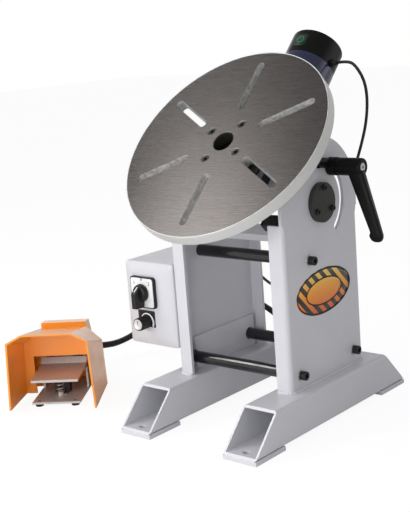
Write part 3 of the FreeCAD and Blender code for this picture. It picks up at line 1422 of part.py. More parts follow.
motor_end = FreeCAD.Placement(
    V(0, float(S.axis_rear), float(S.axis_height)), FreeCAD.Rotation(V(1, 0, 0), float(S.table_lean))
).multVec(V(float(gland_from + 12.6), float(gland_spot[0]), float(gland_spot[1])))
cable_end = gland_end("motor")
keep(solid("motor_cable", cord("motor_cable", [
    motor_end, V(114.6, 152.1, 622.7), V(133.9, 146.1, 612), V(147.7, 148.5, 586.8), V(141.8, 164.9, 553.9),
    V(125, 185, 512), V(114, 185, 474),
    V(99, 182, 430), V(89, 176, 380), V(82, 170, 330), V(70, 164, 275), V(42, 158, 222), V(0, 154, 190),
    V(-48, 150, 181), V(-98, 150, 194), cable_end + V(21, 53, -15), cable_end + V(0, 32, -1), cable_end,
], S.motor_cable_diameter)))

# The mains lead runs down to a put-away coil and from its lowest turn to the plug.
coil_radius = float(S.coil_radius)
coil_pitch = float(S.lead_diameter) * 1.05
coil_top = 44
coil_turns = 3 - (S.coil_end - S.coil_start).number / 360
coil_middle = V(-float(S.coil_side), float(S.coil_rear), 0)


def on_coil(angle, height):
    """Point of the coil and the heading of the lead there, towards the plug."""
    turned = math.radians(float(angle))
    spot = coil_middle + V(coil_radius * math.cos(turned), coil_radius * math.sin(turned), height)
    fall = coil_pitch / (2 * math.pi * coil_radius)
    return spot, V(math.sin(turned), -math.cos(turned), -fall).normalize()


coil_in, coil_in_way = on_coil(S.coil_start, coil_top)
coil_low = coil_top - coil_turns * coil_pitch
coil_out, coil_out_way = on_coil(S.coil_end, coil_low)
mains_end = gland_end("mains")
lead = cord("mains_lead", [
    mains_end, mains_end + V(2.5, 63.3, -8.5), V(-124, 212.5, 109.3), V(-100.5, 234, 61.6),
    coil_in - coil_in_way * 32.5, coil_in,
], S.lead_diameter)
helix = Part.makeHelix(coil_pitch, coil_turns * coil_pitch, coil_radius)
helix.Placement = FreeCAD.Placement(coil_middle + V(0, 0, coil_low), FreeCAD.Rotation(V(0, 0, 1), float(S.coil_end)))
coil_end_circle = Part.Circle(coil_out, coil_out_way, float(S.lead_diameter) / 2)
coil = Part.Wire(helix.Edges).makePipeShell([Part.Wire([coil_end_circle.toShape()])], True, True)
print(f"mains_coil: radius {coil_radius:.0f}, lowest {coil.optimalBoundingBox(True).ZMin:.2f}, volume ratio",
      round(coil.Volume / (helix.Length * math.pi * float(S.lead_diameter) ** 2 / 4), 4))
keep(solid("mains_coil", coil))
plug_height = float(S.plug_diameter) / 2
flat = V(coil_out_way.x, coil_out_way.y, 0).normalize()
tail_end = coil_out + flat * 72 + V(0, 0, plug_height - coil_out.z)
tail = cord("mains_tail", [coil_out, coil_out + coil_out_way * 20, tail_end - flat * 20, tail_end],
            S.lead_diameter)
keep(solid("mains_lead", Part.makeCompound([lead, tail])))


def plug():
    """Round moulded plug with three pins, lying on the floor along the lead."""
    width = float(S.plug_diameter)
    shape = Part.makeCone(float(S.lead_diameter) / 2 + 2, width / 2, 14)
    shape = shape.fuse(Part.makeCylinder(width / 2, 34, V(0, 0, 14)))
    for x, y in ((-8, 4), (8, 4), (0, -8)):
        shape = shape.fuse(Part.makeCylinder(2.4, 19, V(x, y, 48)))
    shape = shape.removeSplitter()
    shape.Placement = FreeCAD.Placement(tail_end, FreeCAD.Rotation(V(0, 0, 1), flat))
    return shape


keep(solid("mains_plug", plug()))


# ---------------------------------------------------------------------------------------
# Check and write
# ---------------------------------------------------------------------------------------
doc.recompute()
for item in doc.Objects:
    if "Invalid" in item.State or "Error" in item.State:
        raise RuntimeError(f"{item.Label} failed: {item.State}")
os.makedirs("parts", exist_ok=True)
for item in PARTS:
    shape = item.Shape
    if shape.isNull() or not shape.isValid() or not shape.Solids:
        raise RuntimeError(f"{item.Label} has no sound solid")
    name = "control_box" if item is control_box else item.Label
    shape.exportStep(f"parts/{name}.step")
print(len(PARTS), "pieces")
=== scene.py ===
"""Looks of a tilting welding positioner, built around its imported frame.

Every length is in metres, in the frame's own axes: X along the tilt axis towards the clamping
lever, Y from front to rear, Z up.
"""
import json
import math

import bmesh
import bpy
import numpy as np
from bpy.props import FloatProperty, FloatVectorProperty, IntProperty, PointerProperty
from mathutils import Matrix, Vector

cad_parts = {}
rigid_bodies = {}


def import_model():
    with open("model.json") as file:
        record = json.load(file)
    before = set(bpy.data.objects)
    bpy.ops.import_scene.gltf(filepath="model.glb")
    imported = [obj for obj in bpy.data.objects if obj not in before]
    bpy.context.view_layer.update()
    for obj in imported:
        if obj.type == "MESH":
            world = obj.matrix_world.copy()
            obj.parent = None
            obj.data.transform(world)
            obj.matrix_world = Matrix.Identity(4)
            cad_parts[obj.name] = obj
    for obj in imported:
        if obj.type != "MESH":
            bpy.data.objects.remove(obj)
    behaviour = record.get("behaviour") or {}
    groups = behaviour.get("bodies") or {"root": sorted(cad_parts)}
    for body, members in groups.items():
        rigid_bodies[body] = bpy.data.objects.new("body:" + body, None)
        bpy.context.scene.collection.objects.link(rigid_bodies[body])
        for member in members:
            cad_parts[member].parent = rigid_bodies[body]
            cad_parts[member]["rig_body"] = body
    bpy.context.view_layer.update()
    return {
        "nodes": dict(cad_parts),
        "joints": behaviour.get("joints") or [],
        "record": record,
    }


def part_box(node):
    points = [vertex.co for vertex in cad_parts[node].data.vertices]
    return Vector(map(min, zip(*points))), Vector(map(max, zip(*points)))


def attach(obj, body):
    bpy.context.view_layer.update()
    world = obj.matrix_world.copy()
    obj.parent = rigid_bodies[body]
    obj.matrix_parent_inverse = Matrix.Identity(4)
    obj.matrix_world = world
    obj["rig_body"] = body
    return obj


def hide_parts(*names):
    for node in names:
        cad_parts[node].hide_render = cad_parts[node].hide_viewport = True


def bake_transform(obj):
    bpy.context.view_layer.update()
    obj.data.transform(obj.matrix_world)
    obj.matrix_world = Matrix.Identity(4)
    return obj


bl_info = {
    "name": "Welding positioner looks",
    "version": (1, 0, 0),
    "blender": (4, 5, 0),
    "location": "View3D > Sidebar > Positioner",
    "description": "Builds the finishes, trim, cords and stage of a welding positioner",
    "category": "Object",
}

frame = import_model()
JOINTS = {joint["name"]: joint for joint in frame["joints"]}
SLOTS = {part["node"]: part["material_slot"] for part in frame["record"]["subparts"]}


# ---------------------------------------------------------------------------------------
# Places: the head's own axes
# ---------------------------------------------------------------------------------------
def joint_place(name):
    return np.array(JOINTS[name]["pos_m"], float)


TILT_AT = joint_place("tilt")
TABLE_NORMAL = np.array(JOINTS["table_spin"]["axis"], float)
TABLE_NORMAL /= np.linalg.norm(TABLE_NORMAL)
UP_TABLE = np.cross(TABLE_NORMAL, [1.0, 0, 0])
HEAD_AXES = np.array([[1.0, 0, 0], UP_TABLE, TABLE_NORMAL])
MILLIMETRES = 1000
PLATE_OUTER, PLATE_INNER = 0.1275, 0.1215
FOOT_TOP = 0.0755
PLATE_FRONT, PLATE_REAR = -0.094, 0.134


def in_head(points):
    """Points given across, up the table and out through it, from the tilt axis."""
    return np.asarray(points, float) @ HEAD_AXES + TILT_AT


# ---------------------------------------------------------------------------------------
# Mesh tools
# ---------------------------------------------------------------------------------------
def new_object(name, points, faces, material, smooth=True):
    """Mesh object from points and faces, with its faces turned outwards."""
    mesh = bpy.data.meshes.new(name)
    mesh.from_pydata([tuple(point) for point in np.asarray(points).tolist()], [], faces)
    work = bmesh.new()
    work.from_mesh(mesh)
    bmesh.ops.remove_doubles(work, verts=work.verts, dist=1e-6)
    bmesh.ops.recalc_face_normals(work, faces=work.faces)
    work.to_mesh(mesh)
    work.free()
    mesh.polygons.foreach_set("use_smooth", [smooth] * len(mesh.polygons))
    piece = bpy.data.objects.new(name, mesh)
    bpy.context.scene.collection.objects.link(piece)
    mesh.materials.append(material)
    return piece


def grid_faces(rows, columns, wrap_rows=False, wrap_columns=False):
    """Quads between neighbours of a grid, closed round either way."""
    row, column = np.meshgrid(np.arange(rows - (not wrap_rows)), np.arange(columns - (not wrap_columns)),
                              indexing="ij")
    here = row * columns + column
    beside = row * columns + (column + 1) % columns
    below = (row + 1) % rows * columns + column
    across = (row + 1) % rows * columns + (column + 1) % columns
    return np.stack([here, beside, across, below], axis=-1).reshape(-1, 4).tolist()


def tube_surface(name, grid, material, capped=True, closed=False):
    """Grid of closed rings; the first and last are filled, or the rings close on themselves."""
    rows, columns = grid.shape[:2]
    faces = grid_faces(rows, columns, wrap_rows=closed, wrap_columns=True)
    if capped and not closed:
        faces.append(list(range(columns))[::-1])
        faces.append([(rows - 1) * columns + index for index in range(columns)])
    return new_object(name, grid.reshape(-1, 3), faces, material)


def turned(name, profile, origin, axis, material, steps=64, ripple=None):
    """Surface of revolution: each (distance along the axis, radius) of the profile becomes a ring."""
    profile = np.asarray(profile, float)
    axis = np.asarray(axis, float) / np.linalg.norm(axis)
    side = np.cross(axis, [0.0, 0, 1.0] if abs(axis[2]) < 0.9 else [1.0, 0, 0])
    side /= np.linalg.norm(side)
    other = np.cross(axis, side)
    angle = np.linspace(0, 2 * np.pi, steps, endpoint=False)
    round_about = np.cos(angle)[:, None] * side + np.sin(angle)[:, None] * other
    radius = profile[:, 1][:, None] * np.ones(steps)
    if ripple is not None:
        radius = radius + ripple(profile[:, 0][:, None], angle[None, :])
    grid = (np.asarray(origin, float) + profile[:, 0][:, None, None] * axis
            + radius[..., None] * round_about[None])
    return tube_surface(name, grid, material)


def frames_along(path):
    """Tangent and two cross directions at each point, carried along with the least twist."""
    tangent = np.gradient(path, axis=0)
    tangent /= np.linalg.norm(tangent, axis=1)[:, None]
    side = np.cross(tangent[0], [0.0, 0, 1.0])
    if np.linalg.norm(side) < 0.1:
        side = np.cross(tangent[0], [1.0, 0, 0])
    sides = []
    for direction in tangent:
        side = side - direction * (side @ direction)
        side = side / np.linalg.norm(side)
        sides.append(side)
    sides = np.array(sides)
    return tangent, sides, np.cross(tangent, sides)


def swept(name, path, radius, material, steps=16):
    """Round tube: a circle of the given radius, one value or one a point, carried along the path."""
    path = np.asarray(path, float)
    _, side, other = frames_along(path)
    angle = np.linspace(0, 2 * np.pi, steps, endpoint=False)
    radius = np.broadcast_to(np.asarray(radius, float), (len(path),))
    grid = path[:, None] + radius[:, None, None] * (
        np.cos(angle)[None, :, None] * side[:, None] + np.sin(angle)[None, :, None] * other[:, None])
    return tube_surface(name, grid, material)


def resampled(path, spacing):
    """The path with its points a fixed distance apart."""
    path = np.asarray(path, float)
    travelled = np.concatenate([[0], np.cumsum(np.linalg.norm(np.diff(path, axis=0), axis=1))])
    count = max(2, int(round(travelled[-1] / spacing)) + 1)
    wanted = np.linspace(0, travelled[-1], count)
    return np.stack([np.interp(wanted, travelled, path[:, axis]) for axis in range(3)], axis=1), travelled[-1]


def spline_curve(name, points, diameter, material=None):
    """Curve of one smooth spline with the points as its control points."""
    data = bpy.data.curves.new(name, "CURVE")
    data.dimensions = "3D"
    data.resolution_u = 12
    spline = data.splines.new("NURBS")
    spline.points.add(len(points) - 1)
    spline.points.foreach_set("co", [value for point in points for value in (*point, 1.0)])
    spline.order_u = 3
    spline.use_endpoint_u = True
    data.bevel_depth = diameter / 2
    data.bevel_resolution = 6
    data.use_fill_caps = True
    curve = bpy.data.objects.new(name, data)
    bpy.context.scene.collection.objects.link(curve)
    if material:
        data.materials.append(material)
    return curve


def spline_path(points):
    """Points along the smooth spline that the control points give."""
    curve = spline_curve("route_of_cord", points, 0.0)
    bpy.context.view_layer.update()
    mesh = bpy.data.meshes.new_from_object(curve)
    line = np.empty(len(mesh.vertices) * 3)
    mesh.vertices.foreach_get("co", line)
    bpy.data.meshes.remove(mesh)
    bpy.data.curves.remove(curve.data)
    return line.reshape(-1, 3)


def round_edges(piece, width, angle=28):
    """Round the edges that turn by more than the angle, and keep the faces beside them flat."""
    rounding = piece.modifiers.new("Rounded edges", "BEVEL")
    rounding.width = width
    rounding.segments = 3
    rounding.limit_method = "ANGLE"
    rounding.angle_limit = math.radians(angle)
    weighing = piece.modifiers.new("Flat faces stay flat", "WEIGHTED_NORMAL")
    weighing.mode = "FACE_AREA"
    weighing.weight = 100


def merged_copy(node, name, material, edge):
    """Copy of a CAD node with its triangles merged into faces and its edges rounded."""
    mesh = frame["nodes"][node].data.copy()
    mesh.name = name
    work = bmesh.new()
    work.from_mesh(mesh)
    bmesh.ops.remove_doubles(work, verts=work.verts, dist=2e-6)
    bmesh.ops.dissolve_limit(work, angle_limit=math.radians(1.0), verts=work.verts, edges=work.edges)
    work.to_mesh(mesh)
    work.free()
    mesh.materials.clear()
    mesh.materials.append(material)
    mesh.polygons.foreach_set("material_index", [0] * len(mesh.polygons))
    mesh.polygons.foreach_set("use_smooth", [True] * len(mesh.polygons))
    piece = bpy.data.objects.new(name, mesh)
    bpy.context.scene.collection.objects.link(piece)
    round_edges(piece, edge)
    return piece


# ---------------------------------------------------------------------------------------
# Materials
# ---------------------------------------------------------------------------------------
class Finish:
    """Node tree of one material, built step by step."""

    def __init__(self, name):
        self.material = bpy.data.materials.new(name)
        self.material.use_nodes = True
        self.nodes = self.material.node_tree.nodes
        self.links = self.material.node_tree.links
        self.shader = self.nodes["Principled BSDF"]

    def set(self, **values):
        """Values of the shader's own sockets, named with _ for a space."""
        for name, value in values.items():
            socket = self.shader.inputs[name.replace("_", " ")]
            if socket.type == "RGBA" and len(value) == 3:
                value = (*value, 1)
            socket.default_value = value
        return self

    def add(self, kind, **values):
        """New node with its settings."""
        node = self.nodes.new(kind)
        for name, value in values.items():
            setattr(node, name, value)
        return node

    def coordinates(self, stretch=(1, 1, 1), turn=(0, 0, 0)):
        """Place on the object, turned and stretched."""
        source = self.add("ShaderNodeTexCoord")
        mapping = self.add("ShaderNodeMapping")
        mapping.vector_type = "POINT"
        mapping.inputs["Scale"].default_value = stretch
        mapping.inputs["Rotation"].default_value = turn
        self.links.new(source.outputs["Object"], mapping.inputs["Vector"])
        return mapping.outputs["Vector"]

    def noise(self, scale, detail=4.0, roughness=0.55, where=None):
        """Cloudy pattern from 0 to 1."""
        node = self.add("ShaderNodeTexNoise")
        node.inputs["Scale"].default_value = scale
        node.inputs["Detail"].default_value = detail
        node.inputs["Roughness"].default_value = roughness
        self.links.new(where or self.coordinates(), node.inputs["Vector"])
        return node.outputs["Fac"]

    def spread(self, value, low, high, start=0.35, end=0.65):
        """Value from start to end, carried over to low to high."""
        node = self.add("ShaderNodeMapRange")
        node.inputs["From Min"].default_value = start
        node.inputs["From Max"].default_value = end
        node.inputs["To Min"].default_value = low
        node.inputs["To Max"].default_value = high
        self.links.new(value, node.inputs["Value"])
        return node.outputs["Result"]

    def shades(self, value, *stops):
        """Colour that runs through the (place, colour) stops."""
        node = self.add("ShaderNodeValToRGB")
        ramp = node.color_ramp
        while len(ramp.elements) < len(stops):
            ramp.elements.new(0.5)
        for element, (place, color) in zip(ramp.elements, stops):
            element.position = place
            element.color = (*color, 1)
        self.links.new(value, node.inputs["Fac"])
        return node.outputs["Color"]

    def blend(self, amount, first, second):
        """The first colour at 0, the second at 1."""
        node = self.add("ShaderNodeMix", data_type="RGBA")
        for socket, value in ((node.inputs[0], amount), (node.inputs[6], first), (node.inputs[7], second)):
            if isinstance(value, bpy.types.NodeSocket):
                self.links.new(value, socket)
            elif isinstance(value, (tuple, list)):
                socket.default_value = (*value, 1) if len(value) == 3 else value
            else:
                socket.default_value = value
        return node.outputs[2]

    def maths(self, operation, first, second=0.0):
        """One sum on two values or sockets."""
        node = self.add("ShaderNodeMath", operation=operation)
        for socket, value in zip(node.inputs, (first, second)):
            if isinstance(value, bpy.types.NodeSocket):
                self.links.new(value, socket)
            else:
                socket.default_value = value
        return node.outputs[0]

    def color(self, socket):
        self.links.new(socket, self.shader.inputs["Base Color"])
        return self

    def rough(self, socket):
        self.links.new(socket, self.shader.inputs["Roughness"])
        return self

    def bump(self, height, distance, strength=1.0):
        """Relief of a pattern, on top of any before it."""
        node = self.add("ShaderNodeBump")
        node.inputs["Strength"].default_value = strength
        node.inputs["Distance"].default_value = distance
        self.links.new(height, node.inputs["Height"])
        if self.shader.inputs["Normal"].is_linked:
            self.links.new(self.shader.inputs["Normal"].links[0].from_socket, node.inputs["Normal"])
        self.links.new(node.outputs["Normal"], self.shader.inputs["Normal"])
        return self


def tint(color, factor):
    return tuple(min(1.0, channel * factor) for channel in color)


def painted(name, color, roughness=0.36, mottle=0.04, peel=0.00003, coat=0.2):
    """Sprayed paint: slight cloudiness, orange peel and a clear coat."""
    finish = Finish(name).set(Metallic=0.0, Coat_Weight=coat, Coat_Roughness=0.18)
    cloud = finish.noise(9.0, 5, 0.6)
    dull, bright = tint(color, 1 - mottle), tint(color, 1 + mottle * 0.5)
    finish.color(finish.shades(cloud, (0.3, dull), (0.7, bright)))
    finish.rough(finish.spread(finish.noise(26.0, 3), roughness - 0.05, roughness + 0.08))
    finish.bump(finish.noise(420, 2), peel, 0.5)
    return finish.material


def machined(name, color, roughness, grain, scale, metallic=1.0):
    """Cut or drawn metal: fine streaks, drawn out where the grain is, with slightly uneven shine."""
    finish = Finish(name).set(Metallic=metallic)
    streak = finish.noise(scale, 6, 0.65, finish.coordinates(stretch=grain))
    finish.color(finish.shades(streak, (0.3, tint(color, 0.82)), (0.7, tint(color, 1.08))))
    finish.rough(finish.spread(streak, roughness - 0.08, roughness + 0.12))
    finish.bump(streak, 0.00003, 0.4)
    return finish.material


def moulded(name, color, roughness=0.42, depth=0.00004, scale=900.0, shine=0.3):
    """Moulded plastic or rubber: fine texture and slight wear in the shine."""
    finish = Finish(name).set(Metallic=0.0, Specular_IOR_Level=shine)
    grain = finish.noise(scale, 2)
    cloud = finish.noise(35.0, 4)
    finish.color(finish.shades(cloud, (0.3, tint(color, 0.85)), (0.7, tint(color, 1.2))))
    finish.rough(finish.spread(cloud, roughness - 0.06, roughness + 0.1))
    finish.bump(grain, depth, 0.6)
    return finish.material


def cast_metal(name, color, roughness=0.5):
    """Sand-cast surface: pitted, with darker hollows."""
    finish = Finish(name).set(Metallic=0.85)
    grit = finish.noise(260.0, 6, 0.7)
    cloud = finish.noise(18.0, 4)
    finish.color(finish.blend(0.5, finish.shades(grit, (0.3, tint(color, 0.7)), (0.7, tint(color, 1.1))),
                              finish.shades(cloud, (0.3, tint(color, 0.85)), (0.7, color))))
    finish.rough(finish.spread(grit, roughness - 0.1, roughness + 0.15))
    finish.bump(grit, 0.0002, 0.6)
    return finish.material


def distance_from_axis(finish, position):
    """Distance from the table's axis: the length of the offset from a point on it, crossed with its way."""
    offset = finish.add("ShaderNodeVectorMath", operation="SUBTRACT")
    offset.inputs[1].default_value = tuple(joint_place("table_spin"))
    finish.links.new(position, offset.inputs[0])
    crossed = finish.add("ShaderNodeVectorMath", operation="CROSS_PRODUCT")
    crossed.inputs[1].default_value = tuple(TABLE_NORMAL)
    finish.links.new(offset.outputs[0], crossed.inputs[0])
    length = finish.add("ShaderNodeVectorMath", operation="LENGTH")
    finish.links.new(crossed.outputs[0], length.inputs[0])
    return length.outputs["Value"]


def ground_steel(name):
    """Turntable: fine straight grinding marks; paler, duller walls in its slots and round it; the wall of its
    bore painted near black as painted shade.
    """
    finish = Finish(name).set(Anisotropic=0.8)
    across_marks = finish.add("ShaderNodeVectorTransform", convert_from="OBJECT", convert_to="WORLD")
    across_marks.inputs[0].default_value = tuple(UP_TABLE)
    finish.links.new(across_marks.outputs[0], finish.shader.inputs["Tangent"])
    turn = (-math.radians(45), 0, 0)
    marks = finish.noise(70.0, 8, 0.75, finish.coordinates(stretch=(0.35, 14, 14), turn=turn))
    fine = finish.noise(240.0, 4, 0.8, finish.coordinates(stretch=(0.6, 10, 10), turn=turn))
    cloud = finish.noise(5.0, 4, 0.5)
    broad_shades = finish.shades(marks, (0.25, (0.072, 0.064, 0.061)), (0.5, (0.081, 0.073, 0.070)),
                                 (0.75, (0.092, 0.083, 0.080)))
    fine_shades = finish.shades(fine, (0.3, (0.068, 0.061, 0.058)), (0.7, (0.094, 0.085, 0.082)))
    cloud_shades = finish.shades(cloud, (0.35, (0.058, 0.053, 0.050)), (0.65, (0.091, 0.085, 0.081)))
    base = finish.blend(0.35, finish.blend(0.55, broad_shades, fine_shades), cloud_shades)
    source = finish.add("ShaderNodeTexCoord")
    along = finish.add("ShaderNodeVectorMath", operation="DOT_PRODUCT")
    along.inputs[1].default_value = tuple(TABLE_NORMAL)
    finish.links.new(source.outputs["Normal"], along.inputs[0])
    wall = finish.spread(along.outputs["Value"], 1.0, 0.0, 0.55, 0.9)
    radius = distance_from_axis(finish, source.outputs["Object"])
    stain = finish.shades(finish.noise(120.0, 4, 0.7), (0.35, (0.33, 0.33, 0.32)), (0.62, (0.72, 0.72, 0.71)))
    rim = finish.spread(radius, 0.0, 1.0, 0.190, 0.198)
    sides = finish.blend(rim, stain, (0.66, 0.66, 0.65))
    # Painted shade: the wall of the middle bore is coloured near black, as shade in the hole.
    painted_bore_shade = finish.spread(radius, 1.0, 0.0, 0.021, 0.024)
    sides = finish.blend(painted_bore_shade, sides, (0.03, 0.029, 0.027))
    finish.color(finish.blend(wall, base, sides))
    finish.links.new(finish.spread(wall, 0.85, 0.25, 0.0, 1.0), finish.shader.inputs["Metallic"])
    dulled = finish.maths("MULTIPLY", wall, 0.15)
    finish.rough(finish.maths("ADD", finish.spread(marks, 0.22, 0.32), dulled))
    finish.bump(fine, 0.00006, 0.5)
    finish.bump(marks, 0.00003, 0.2)
    return finish.material


def striped_field(name, stripes=True):
    """Enamel that runs from orange up to yellow, with slanting black stripes."""
    finish = Finish(name).set(Metallic=0.0, Roughness=0.35, Coat_Weight=0.4, Coat_Roughness=0.15)
    parts = finish.add("ShaderNodeSeparateXYZ")
    finish.links.new(finish.coordinates(), parts.inputs[0])
    height = finish.spread(parts.outputs["Z"], 0.0, 1.0, 0.192, 0.277)
    color = finish.shades(height, (0.05, (0.75, 0.10, 0.01)), (0.5, (0.95, 0.34, 0.02)),
                          (0.95, (0.98, 0.68, 0.10)))
    if stripes:
        slant = finish.maths("ADD", parts.outputs["Y"], parts.outputs["Z"])
        stripe_pitch = 0.026
        share = finish.maths("FRACT", finish.maths("MULTIPLY", slant, 1 / stripe_pitch))
        color = finish.blend(finish.spread(share, 0.0, 1.0, 0.47, 0.50), color, (0.015, 0.014, 0.013))
    finish.color(color)
    finish.bump(finish.noise(700.0, 2), 0.00003, 0.4)
    return finish.material


MATERIALS = {}
FINISH_OF = {
    "box_screws": "paint_grey", "lock_collar": "lever_black", "lever_insert": "screw_black",
    "motor_cap": "cap_gloss", "lever_screw": "chrome", "switch_knob": "knob_black",
    # The spindle's black finish is painted shade: it stands in for the shade at the bottom of the table's
    # bore.
    "switch_plate": "label_black", "lock_stud": "screw_black", "spindle": "screw_black",
}


def make_materials(colours):
    """One finish for each kind of surface on the machine."""
    grey = tuple(colours.paint)
    MATERIALS.update(
        paint_grey=painted("Light grey paint", grey),
        rod_black=painted("Gloss black rods", tuple(colours.rods), roughness=0.16, mottle=0.1, peel=0.00002),
        screw_steel=machined("Zinc plated screws", (0.62, 0.62, 0.6), 0.3, (1, 1, 1), 300.0),
        screw_black=machined("Black oxide screws", (0.03, 0.03, 0.032), 0.38, (1, 1, 1), 300.0, 0.6),
        cap_black=moulded("Dark pivot caps", (0.035, 0.033, 0.031), 0.4),
        table_steel=ground_steel("Ground steel table"),
        machined_steel=machined("Machined steel", (0.55, 0.55, 0.56), 0.28, (1, 1, 1), 120.0),
        cast_aluminium=cast_metal("Cast aluminium", (0.62, 0.62, 0.63)),
        gear_bronze=machined("Gear bronze", (0.60, 0.38, 0.17), 0.3, (1, 1, 1), 150.0),
        motor_blue=painted("Dark blue motor enamel", tuple(colours.motor), roughness=0.16, mottle=0.12,
                           coat=0.6),
        black_plastic=moulded("Black moulding", (0.018, 0.018, 0.019), 0.36),
        grey_plastic=moulded("Grey moulding", (0.25, 0.25, 0.26), 0.45),
        rubber_black=moulded("Black rubber", (0.02, 0.02, 0.02), 0.55, 0.00008, 500.0),
        hood_orange=painted("Orange guard paint", tuple(colours.guard), roughness=0.34, coat=1.0),
        treadle_metal=machined("Brushed pedal plate", (0.62, 0.61, 0.60), 0.42, (30, 1, 1), 40.0, 0.45),
        board_green=moulded("Circuit board", (0.02, 0.16, 0.06), 0.35),
        rotor_steel=machined("Rotor steel", (0.3, 0.3, 0.31), 0.4, (1, 1, 1), 90.0),
        bearing_steel=machined("Bearing steel", (0.7, 0.7, 0.72), 0.15, (1, 1, 1), 80.0),
        brass=machined("Turned brass", (0.72, 0.52, 0.22), 0.25, (1, 1, 1), 120.0),
        lever_black=moulded("Black moulded lever", (0.0065, 0.006, 0.0055), 0.42, 0.00004, 700.0, 0.14),
        cap_gloss=moulded("Glossy black end cap", (0.0045, 0.004, 0.0035), 0.2, 0.00001, 500.0, 0.18),
        knob_black=moulded("Satin black knob", (0.010, 0.010, 0.010), 0.38, 0.00002, 900.0, 0.35),
        knob_silver=machined("Spun silver cap", (0.85, 0.85, 0.85), 0.42, (1, 1, 1), 200.0, 0.6),
        label_black=moulded("Black label", (0.012, 0.012, 0.013), 0.4, 0.00001, 900.0),
        switch_white=moulded("Silver-white switch face", (0.78, 0.78, 0.79), 0.4, 0.00001, 900.0),
        mark_black=moulded("Black print", (0.012, 0.012, 0.014), 0.45, 0.00001, 900.0),
        badge_dark=moulded("Dark badge", (0.012, 0.022, 0.016), 0.3, 0.00001, 900.0),
        badge_green=moulded("Green badge disc", (0.012, 0.065, 0.036), 0.3, 0.00001, 900.0),
        badge_light=moulded("Pale badge ring", (0.10, 0.26, 0.18), 0.35, 0.00001, 900.0),
        oval_field=striped_field("Striped oval enamel"),
        oval_centre=striped_field("Oval middle enamel", False),
        chrome=machined("Polished chrome", (0.85, 0.85, 0.87), 0.08, (1, 1, 1), 60.0),
        conduit=moulded("Glossy black conduit", (0.016, 0.016, 0.017), 0.3, 0.00003, 700.0),
        white_mark=moulded("White print", (0.85, 0.85, 0.85), 0.5),
    )


class PositionerColours(bpy.types.PropertyGroup):
    """Colours of the machine's painted surfaces."""

    paint: FloatVectorProperty(name="Machine paint", description="Paint of the base, yoke and control box",
                               subtype="COLOR", size=3, default=(0.66, 0.66, 0.70), min=0, max=1)
    rods: FloatVectorProperty(name="Tie rods", description="Enamel of the tie rods",
                              subtype="COLOR", size=3, default=(0.008, 0.008, 0.009), min=0, max=1)
    motor: FloatVectorProperty(name="Motor", description="Enamel of the motor tube",
                               subtype="COLOR", size=3, default=(0.008, 0.014, 0.070), min=0, max=1)
    guard: FloatVectorProperty(name="Pedal guard", description="Paint of the pedal's guard",
                               subtype="COLOR", size=3, default=(1.0, 0.34, 0.012), min=0, max=1)


class PositionerLights(bpy.types.PropertyGroup):
    """Strength of the lights."""

    key_power: FloatProperty(name="Key light", description="Power of the main soft light in watts",
                             default=22.0, min=0.0)
    fill_power: FloatProperty(name="Fill light", description="Power of the fill light in watts",
                              default=22.0, min=0.0)
    pedal_power: FloatProperty(name="Pedal light", description="Power of the light into the pedal in watts",
                               default=5.0, min=0.0)
    ambient: FloatProperty(name="Surrounding light", description="Strength of the light from all round",
                           default=0.46, min=0.0)


# ---------------------------------------------------------------------------------------
# Stage
# ---------------------------------------------------------------------------------------
CAMERA_PLACE = (1.17895, -1.49439, 0.69527)
CAMERA_YAW_PITCH_ROLL = (41.16, -11.86, 4.37)
CAMERA_LENS, CAMERA_SENSOR = 75.45, 36


def light_panel(name, place, target, width, height, power, roll=0.0):
    """Soft rectangular lamp that looks at its target, turned about its own axis by the roll."""
    lamp = bpy.data.lights.new(name, "AREA")
    lamp.shape = "RECTANGLE"
    lamp.size, lamp.size_y = width, height
    lamp.energy = power
    panel = bpy.data.objects.new(name, lamp)
    panel.location = place
    facing = (Vector(target) - Vector(place)).to_track_quat("-Z", "Y").to_matrix()
    panel.rotation_euler = (facing @ Matrix.Rotation(math.radians(roll), 3, "Z")).to_euler()
    bpy.context.scene.collection.objects.link(panel)
    return panel


